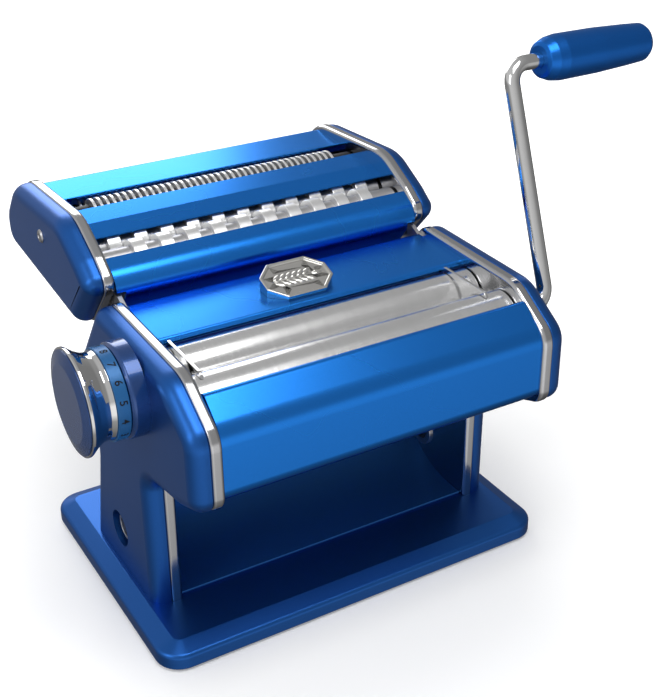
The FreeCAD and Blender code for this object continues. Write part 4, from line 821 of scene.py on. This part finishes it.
class PASTA_OT_knob(PieceOperator, bpy.types.Operator):
    """Build the thickness knob, its number band and its bezel"""
    bl_idname = "pasta.knob"
    bl_label = "Thickness knob"

    def build(self):
        axis = axis_of("knob_cap")
        ring = [(-103.6, 17, 0), (-103.6, 19, 0.3), (-105.8, 18.3, 1.5), (-108, 18.7, 4), (-111, 20.3, 8), (-113.6, 22.4, 2),
                (-114.4, 22.9, 0.4), (-115.6, 22.9, 0.5), (-115.6, 19.58, 0), (-107, 17, 0)]
        dress(turned("knob_flare", ring, axis, arc=5.0), "mirror", "knob", "knob_ring")
        core = [(-98.2, 4.1, 0), (-98.2, 17, 0), (-107, 17, 0), (-114.2, 19.16, 0), (-114.2, 6.4, 0), (-105.2, 6.4, 0),
                (-105.2, 4.1, 0)]
        dress(turned("knob_middle", core, axis), "bush", "knob", "knob_core")
        cap = [(-114.2, 0, 0), (-114.2, 19.16, 0), (-115.6, 19.58, 0), (-115.6, 22.4, 0.3), (-116.1, 21.9, 0.5),
               (-117.5, 16.6, 2.2), (-117.5, 0, 0)]
        dress(turned("knob_lid", cap, axis, arc=5.0), "blue_knob", "knob", "knob_cap")
        bezel = [(-90.4, 9, 0), (-90.4, 20.5, 0), (-96.6, 20.5, 1.6), (-97.8, 19.2, 0.5), (-97.8, 15, 0), (-94, 15, 0),
                 (-92.4, 4.15, 0), (-90.4, 4.15, 0)]
        dress(turned("dial_bezel", bezel, axis, arc=6.0), "blue_knob", "machine", "knob_bezel")
        band = [(-98.2, 17, 0), (-98.2, 19.6, 0.3), (-103.6, 19.6, 0.2), (-103.6, 17, 0)]
        dress(turned("number_band", band, axis), "number_band", "knob", "number_ring")
        digits = dress(self.digits(axis, 19.6 * MM), "number_band", "knob")
        digits.data.materials[0] = FINISH["print"]
        spring = self.coil(axis, -110.8 * MM, -106.0 * MM, 4, 4.9 * MM, 0.5 * MM)
        spring.data.materials.append(FINISH["steel"])
        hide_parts("knob_spring")
        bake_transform(spring)

    def coil(self, axis, x_from, x_to, turns, radius, wire):
        """Spring wire along the helix x = x_from + pitch * turn / 2 pi, with a ring of points round
        each place: radius + wire * cos(around) from the axis and wire * sin(around) along it."""
        turn = np.linspace(0, turns * 2 * math.pi, turns * 40 + 1)
        rings = []
        for t, x in zip(turn, np.linspace(x_from, x_to, len(turn))):
            around = np.arange(10) * 2 * math.pi / 10
            reach = radius + wire * np.cos(around)
            rings.append(np.column_stack([x + wire * np.sin(around), axis[0] + reach * math.cos(t),
                                          axis[1] + reach * math.sin(t)]))
        return loft("return_spring", rings)

    def digits(self, axis, radius):
        """Digits 0 to 9, one every 24 degrees, bent round the band: turn = middle + u / radius,
        y = axis_y + r * cos(turn), z = axis_z + r * sin(turn)."""
        pieces = []
        for value in range(10):
            curve = bpy.data.curves.new("digit", "FONT")
            curve.body = str(value)
            curve.size = sizes().digit_size
            curve.align_x, curve.align_y = "CENTER", "CENTER"
            curve.resolution_u = 3
            curve.offset = 0.07 * MM
            holder = bpy.data.objects.new("digit", curve)
            bpy.context.scene.collection.objects.link(holder)
            bpy.context.view_layer.update()
            mesh = bpy.data.meshes.new_from_object(holder.evaluated_get(bpy.context.evaluated_depsgraph_get()))
            bpy.data.objects.remove(holder)
            flat = np.empty(len(mesh.vertices) * 3)
            mesh.vertices.foreach_get("co", flat)
            u, v = flat.reshape(-1, 3)[:, 0], flat.reshape(-1, 3)[:, 1]
            middle = math.radians(DIGIT_START + DIGIT_STEP * value)
            turn = middle + DIGIT_HAND * u / radius
            faces = [list(p.vertices) for p in mesh.polygons]
            count = len(u)
            points = []
            for r in (radius + 0.04 * MM, radius - 0.1 * MM):
                points.append(np.column_stack([-100.9 * MM + DIGIT_UP * v, axis[0] + r * np.cos(turn),
                                               axis[1] + r * np.sin(turn)]))
            walls = self.walls(mesh, count)
            faces += [[i + count for i in f[::-1]] for f in faces] + walls
            pieces.append(make_mesh("digit", np.concatenate(points), faces))
            bpy.data.meshes.remove(mesh)
        return join("dial_digits", pieces)

    def walls(self, mesh, count):
        """Quads between the rim edges of a flat mesh and its copy count vertices further on."""
        used = {}
        for polygon in mesh.polygons:
            ring = list(polygon.vertices)
            for a, b in zip(ring, ring[1:] + ring[:1]):
                key = (min(a, b), max(a, b))
                used.setdefault(key, []).append((a, b))
        return [[b, a, a + count, b + count] for (a, b), in (v for v in used.values() if len(v) == 1)]


DIGIT_START, DIGIT_STEP, DIGIT_HAND, DIGIT_UP = 285.0, -24.0, 1.0, 1.0


class PASTA_OT_crank(PieceOperator, bpy.types.Operator):
    """Build the bent crank rod and its turned grip"""
    bl_idname = "pasta.crank"
    bl_label = "Crank"

    def build(self):
        lean = math.radians(-20.7)
        arm, crank_x, bend, start, stop = 107.6, 102.0, 8.5, 78.8, 172.0
        line = soften([(start, 0, 0), (crank_x, 0, bend), (crank_x, arm, bend), (stop, arm, 0)], closed=False, step=6.0)
        along = np.gradient(line, axis=0)
        along /= np.linalg.norm(along, axis=1)[:, None]
        turn = np.arange(40) * 2 * math.pi / 40
        radius = sizes().rod_radius
        away = np.array((-math.sin(lean), math.cos(lean)))
        across = np.array((math.cos(lean), math.sin(lean)))
        rings = []
        easing = np.ones(len(line))
        for (x, w), (tx, tw), r in zip(line, along, easing):
            side = radius * r * np.cos(turn)
            out = radius * r * np.sin(turn)
            rings.append(np.column_stack([x - side * tw, FRONT_AXIS[0] + (w + side * tx) * away[0] + out * across[0],
                                          FRONT_AXIS[1] + (w + side * tx) * away[1] + out * across[1]]))
        dress(loft("crank_bar", rings), "chrome", "crank", "crank_rod")
        bore = radius / MM + 0.08
        grip = [(118.6, bore, 0), (118.6, 6.4, 0.5), (119.4, 8.2, 0.8), (123.4, 9.8, 1.6), (128.5, 10.5, 4), (150, 10.3, 30),
                (168, 9.5, 14), (177.6, 8.9, 1.5), (179.7, 7.6, 0.7), (179.8, 5, 0), (173, 5, 0), (173, bore, 0)]
        dress(turned("grip_barrel", grip, GRIP_AXIS, arc=3.0), "blue_grip", "grip", "crank_grip")
        end = [(175.4, 0, 0), (175.4, 5, 0), (179.8, 5, 0.3), (180.2, 4, 0.5), (180.4, 0, 0)]
        dress(turned("grip_plug", end, GRIP_AXIS, 48), "blue_grip", "grip", "grip_end_plug")


class PASTA_OT_fittings(PieceOperator, bpy.types.Operator):
    """Build the clamp sockets and the cap screws"""
    bl_idname = "pasta.fittings"
    bl_label = "Fittings"

    def build(self):
        axis = axis_of("clamp_sockets")
        inner = FRAME_INNER / MM
        tube = [(inner - 1.2, 5.0, 0), (inner - 1.2, 8.2, 0.4), (inner, 8.2, 0), (inner, 6.4, 0), (inner + 11.4, 6.4, 0.4),
                (inner + 11.4, 5.0, 0.3)]
        right = turned("clamp_tube", tube, axis, 64)
        left = mirror_x(right, "clamp_tube_twin")
        dress(join("clamp_tubes", [right, left]), "steel", "machine", "clamp_sockets")
        face = COVER_FACE / MM
        screws = []
        for side, z in ((1, 139.0), (-1, 152.1)):
            points = [(79.4, 0, 0), (79.4, 1.5, 0), (face, 1.5, 0), (face, 3.3, 0.1), (face + 0.9, 2.7, 0.5),
                      (face + 1.2, 1.3, 0.1), (face + 0.8, 1.0, 0), (face + 0.8, 0, 0)]
            screws.append(turned("cap_screw", [(side * x, r, e) for x, r, e in points], (67.1 * MM, z * MM), 40))
        dress(join("cap_screw_pair", screws), "steel", "cutter_unit", "cutter_cap_screws")


class PASTA_OT_badge(PieceOperator, bpy.types.Operator):
    """Build the plain eight-sided plaque with an ear of wheat in relief"""
    bl_idname = "pasta.badge"
    bl_label = "Badge"

    def build(self):
        half, deep, chop = 16.5, 11.0, 7.0
        corners = [(-half, -deep + chop, 0.8), (-half + chop, -deep, 0.8), (half - chop, -deep, 0.8),
                   (half, -deep + chop, 0.8), (half, deep - chop, 0.8), (half - chop, deep, 0.8),
                   (-half + chop, deep, 0.8), (-half, deep - chop, 0.8)]
        plan = soften(corners)
        section = soften([(0.4, 0, 0), (0, 0.3, 0), (0, 1.95, 0.5), (1.4, 1.95, 0.3), (1.6, 1.2, 0.2), (6.0, 1.2, 0)],
                         closed=False)
        rings = [self.laid(np.column_stack([inset(plan, d), np.full(len(plan), z)])) for d, z in section]
        ground = rings[0].copy()
        ground[:, 2] = 138.7 * MM + (ground[:, 1] + 29 * MM) * 0.0225
        pieces = [loft("plaque_plate", [ground] + rings)]
        for k in range(6):
            x = -8.5 + 2.9 * k
            for side in (-1, 1):
                pieces.append(self.grain(x, side * 2.2, side * 30.0, 3.1, 1.25))
        pieces.append(self.grain(10.4, 0, 0, 3.2, 1.3))
        pieces.append(self.grain(-1.0, 0, 0, 11.5, 0.5))
        dress(join("plaque", pieces), "badge", "machine", "badge_plaque")

    def grain(self, x, y, lean, long, wide):
        """Pointed grain: at place t from -1 to 1 its half width is wide * (1 - t * t) ** 0.8 and its
        back rises 0.65 mm out of the field of the plate."""
        t = np.linspace(-1, 1, 13)[:, None]
        a = np.arange(16)[None, :] * 2 * math.pi / 16
        reach = wide * (1 - t * t) ** 0.8
        u = long * t + 0 * a
        v = reach * np.cos(a)
        w = 1.15 + 0.62 * (1 - t * t) ** 0.6 * np.sin(a)
        c, s = math.cos(math.radians(lean)), math.sin(math.radians(lean))
        points = np.stack([x + u * c - v * s, y + u * s + v * c, w], -1).reshape(-1, 3) * MM
        return make_mesh("grain", self.laid(points), grid_faces(13, 16), 60.0)

    def laid(self, points):
        """Points of the plaque's own frame placed on the rear sheet: turned about X by its lean."""
        c, s = math.cos(BADGE_LEAN), math.sin(BADGE_LEAN)
        low, high = span("badge_plaque")
        middle = np.array(((low[0] + high[0]) / 2, low[1] + (11 * c + 2 * s) * MM, high[2] - (11 * s + 2 * c) * MM))
        return middle + np.column_stack([points[:, 0], points[:, 1] * c - points[:, 2] * s,
                                         points[:, 1] * s + points[:, 2] * c])


BADGE_LEAN = math.radians(18.0)


class PASTA_OT_stage(PieceOperator, bpy.types.Operator):
    """Set up the floor, the soft studio light and the camera"""
    bl_idname = "pasta.stage"
    bl_label = "Stage"

    def build(self):
        scene = bpy.context.scene
        self.camera(scene)
        self.floor()
        self.world(scene)
        self.lamp("rear", (0.14, 0.99, 0.56), (0.0, 0, 0.13), (0.62, 0.52), 3.7)
        self.lamp("top", (0.0, -0.30, 1.0), (0.0, -0.06, 0.13), (0.55, 0.5), 4.5)
        self.lamp("left", (-1.0, -0.25, 0.75), (0, 0, 0.1), (0.5, 0.7), 3)
        scene.view_settings.view_transform = "Standard"

    def camera(self, scene):
        """Camera at the place that shows the front, the top and the knob side."""
        data = bpy.data.cameras.new("view")
        data.sensor_fit = "VERTICAL"
        data.sensor_height = 36.0
        data.lens = 64.37
        data.clip_start = 0.01
        right = np.array((0.86176, -0.50730, -0.00420))
        up = np.array((0.24601, 0.41063, 0.87799))
        back = np.array((-0.44367, -0.75765, 0.47867))
        place = Matrix.Identity(4)
        for column, axis in enumerate((right, up, back, (-0.24113, -0.44905, 0.37759))):
            for row in range(3):
                place[row][column] = axis[row]
        camera = bpy.data.objects.new("view", data)
        camera.matrix_world = place
        scene.collection.objects.link(camera)
        scene.camera = camera

    def floor(self):
        """Floor as a wide disc: rings of growing radius round the base. Painted light: the floor glows by its own
        emission, dimmest near the machine, which paints shade round the base and keeps the far floor white; the
        backdrop wears the same material.
        """
        turn = np.arange(64) * 2 * math.pi / 64
        rings = [np.column_stack([r * np.cos(turn), r * np.sin(turn), np.zeros(64)]) for r in (0.05, 0.5, 2.0, 6.0)]
        faces = [list(f) for f in grid_faces(4, 64)] + [list(range(64))]
        floor = make_mesh("floor", np.concatenate(rings), faces)
        material = bpy.data.materials.new("floor_paint_and_glow")
        material.use_nodes = True
        shader = material.node_tree.nodes["Principled BSDF"]
        shader.inputs["Base Color"].default_value = colours().floor[:]
        shader.inputs["Roughness"].default_value = 0.6
        shader.inputs["Specular IOR Level"].default_value = 0.2
        tree = material.node_tree
        # Painted glow: emission grows with distance from the origin, so the floor round the machine is painted darker
        # and the far floor bright.
        spread = tree.nodes.new("ShaderNodeVectorMath")
        spread.operation = "LENGTH"
        tree.links.new(add(tree, "ShaderNodeTexCoord").outputs["Object"], spread.inputs[0])
        floor_glow_dim_near_base = ramp(tree, spread.outputs["Value"], [(0.12, 0.22), (0.30, 0.62), (0.8, 0.9)])
        tree.links.new(floor_glow_dim_near_base, shader.inputs["Emission Color"])
        shader.inputs["Emission Strength"].default_value = 1.0
        floor.visible_glossy = False
        floor.data.materials.append(material)
        if floor.data.polygons[0].normal.z < 0:
            floor.data.flip_normals()
        around = [np.column_stack([6.0 * np.cos(turn), 6.0 * np.sin(turn), np.full(64, z)]) for z in (0.0, 5.0)]
        backdrop = make_mesh("backdrop", np.concatenate(around), [list(f) for f in grid_faces(2, 64)])
        backdrop.data.materials.append(material)
        backdrop.visible_glossy = backdrop.visible_diffuse = backdrop.visible_shadow = False

    def world(self, scene):
        """Bright even surround, a little darker low down so that plating has something to show."""
        world = bpy.data.worlds.new("studio")
        world.use_nodes = True
        tree = world.node_tree
        split = add(tree, "ShaderNodeSeparateXYZ")
        tree.links.new(add(tree, "ShaderNodeTexCoord").outputs["Generated"], split.inputs["Vector"])
        x, y, z = (split.outputs[k] for k in "XYZ")
        front = ramp(tree, maths(tree, "ADD", maths(tree, "MULTIPLY", y, -0.5), 0.5),
                     [(0.15, 0.27), (0.5, 0.40), (0.85, 1.0), (1.0, 1.2)])
        away = ramp(tree, maths(tree, "ADD", maths(tree, "MULTIPLY", x, 0.5), 0.5),
                    [(0.0, 1.0), (0.55, 1.0), (0.85, 0.5), (1.0, 0.4)])
        above = ramp(tree, maths(tree, "ADD", maths(tree, "MULTIPLY", x, -0.5), 0.5),
                     [(0.1, 0.25), (0.5, 0.55), (0.9, 0.72)])
        blend = tree.nodes.new("ShaderNodeMix")
        blend.data_type = "RGBA"
        tree.links.new(ramp(tree, maths(tree, "ADD", z, 0.5), [(0.42, 0.0), (0.62, 1.0)]), blend.inputs["Factor"])
        low = tree.nodes.new("ShaderNodeMix")
        low.data_type = "RGBA"
        low.blend_type = "MULTIPLY"
        low.inputs["Factor"].default_value = 1.0
        tree.links.new(front, low.inputs["A"])
        tree.links.new(away, low.inputs["B"])
        sunk = tree.nodes.new("ShaderNodeMix")
        sunk.data_type = "RGBA"
        sunk.blend_type = "MULTIPLY"
        sunk.inputs["Factor"].default_value = 1.0
        tree.links.new(low.outputs["Result"], sunk.inputs["A"])
        tree.links.new(ramp(tree, maths(tree, "ADD", z, 1.0), [(0.3, 0.4), (0.55, 1.0)]), sunk.inputs["B"])
        tree.links.new(sunk.outputs["Result"], blend.inputs["A"])
        tree.links.new(above, blend.inputs["B"])
        tree.links.new(blend.outputs["Result"], tree.nodes["Background"].inputs["Color"])
        tree.nodes["Background"].inputs["Strength"].default_value = 1.0
        scene.world = world

    def lamp(self, name, place, target, size, power):
        data = bpy.data.lights.new(name, "AREA")
        data.shape = "RECTANGLE"
        data.size, data.size_y = size
        data.energy = power
        lamp = bpy.data.objects.new(name, data)
        lamp.location = place
        aim = np.array(target, float) - np.array(place, float)
        lamp.rotation_euler = Matrix(look_rows(aim)).to_euler()
        bpy.context.scene.collection.objects.link(lamp)


def look_rows(aim):
    """Rotation whose -Z axis points along aim: z = -aim, x = up cross z, y = z cross x."""
    z = -aim / np.linalg.norm(aim)
    x = np.cross((0, 0, 1), z)
    x /= np.linalg.norm(x)
    return np.stack([x, np.cross(z, x), z], 1).tolist()


OPERATORS = [PASTA_OT_finishes, PASTA_OT_covers, PASTA_OT_caps, PASTA_OT_frames, PASTA_OT_sheets, PASTA_OT_decks,
             PASTA_OT_base, PASTA_OT_rollers, PASTA_OT_cutters, PASTA_OT_knob, PASTA_OT_crank, PASTA_OT_fittings,
             PASTA_OT_badge, PASTA_OT_stage]


class PASTA_PT_panel(bpy.types.Panel):
    """Lists the piece operators"""
    bl_idname = "PASTA_PT_panel"
    bl_label = "Pasta Machine"
    bl_space_type = "VIEW_3D"
    bl_region_type = "UI"
    bl_category = "Pasta Machine"

    def draw(self, context):
        column = self.layout.column()
        for operator in OPERATORS:
            column.operator(operator.bl_idname)


CLASSES = [PastaMachineSizes, PastaMachineColours, *OPERATORS, PASTA_PT_panel]


def register():
    for item in CLASSES:
        bpy.utils.register_class(item)
    bpy.types.Scene.pasta_sizes = PointerProperty(type=PastaMachineSizes)
    bpy.types.Scene.pasta_colours = PointerProperty(type=PastaMachineColours)


def unregister():
    del bpy.types.Scene.pasta_colours
    del bpy.types.Scene.pasta_sizes
    for item in reversed(CLASSES):
        bpy.utils.unregister_class(item)


def main():
    register()
    for operator in OPERATORS:
        group, name = operator.bl_idname.split(".")
        getattr(getattr(bpy.ops, group), name)()


if __name__ == "__main__":
    main()
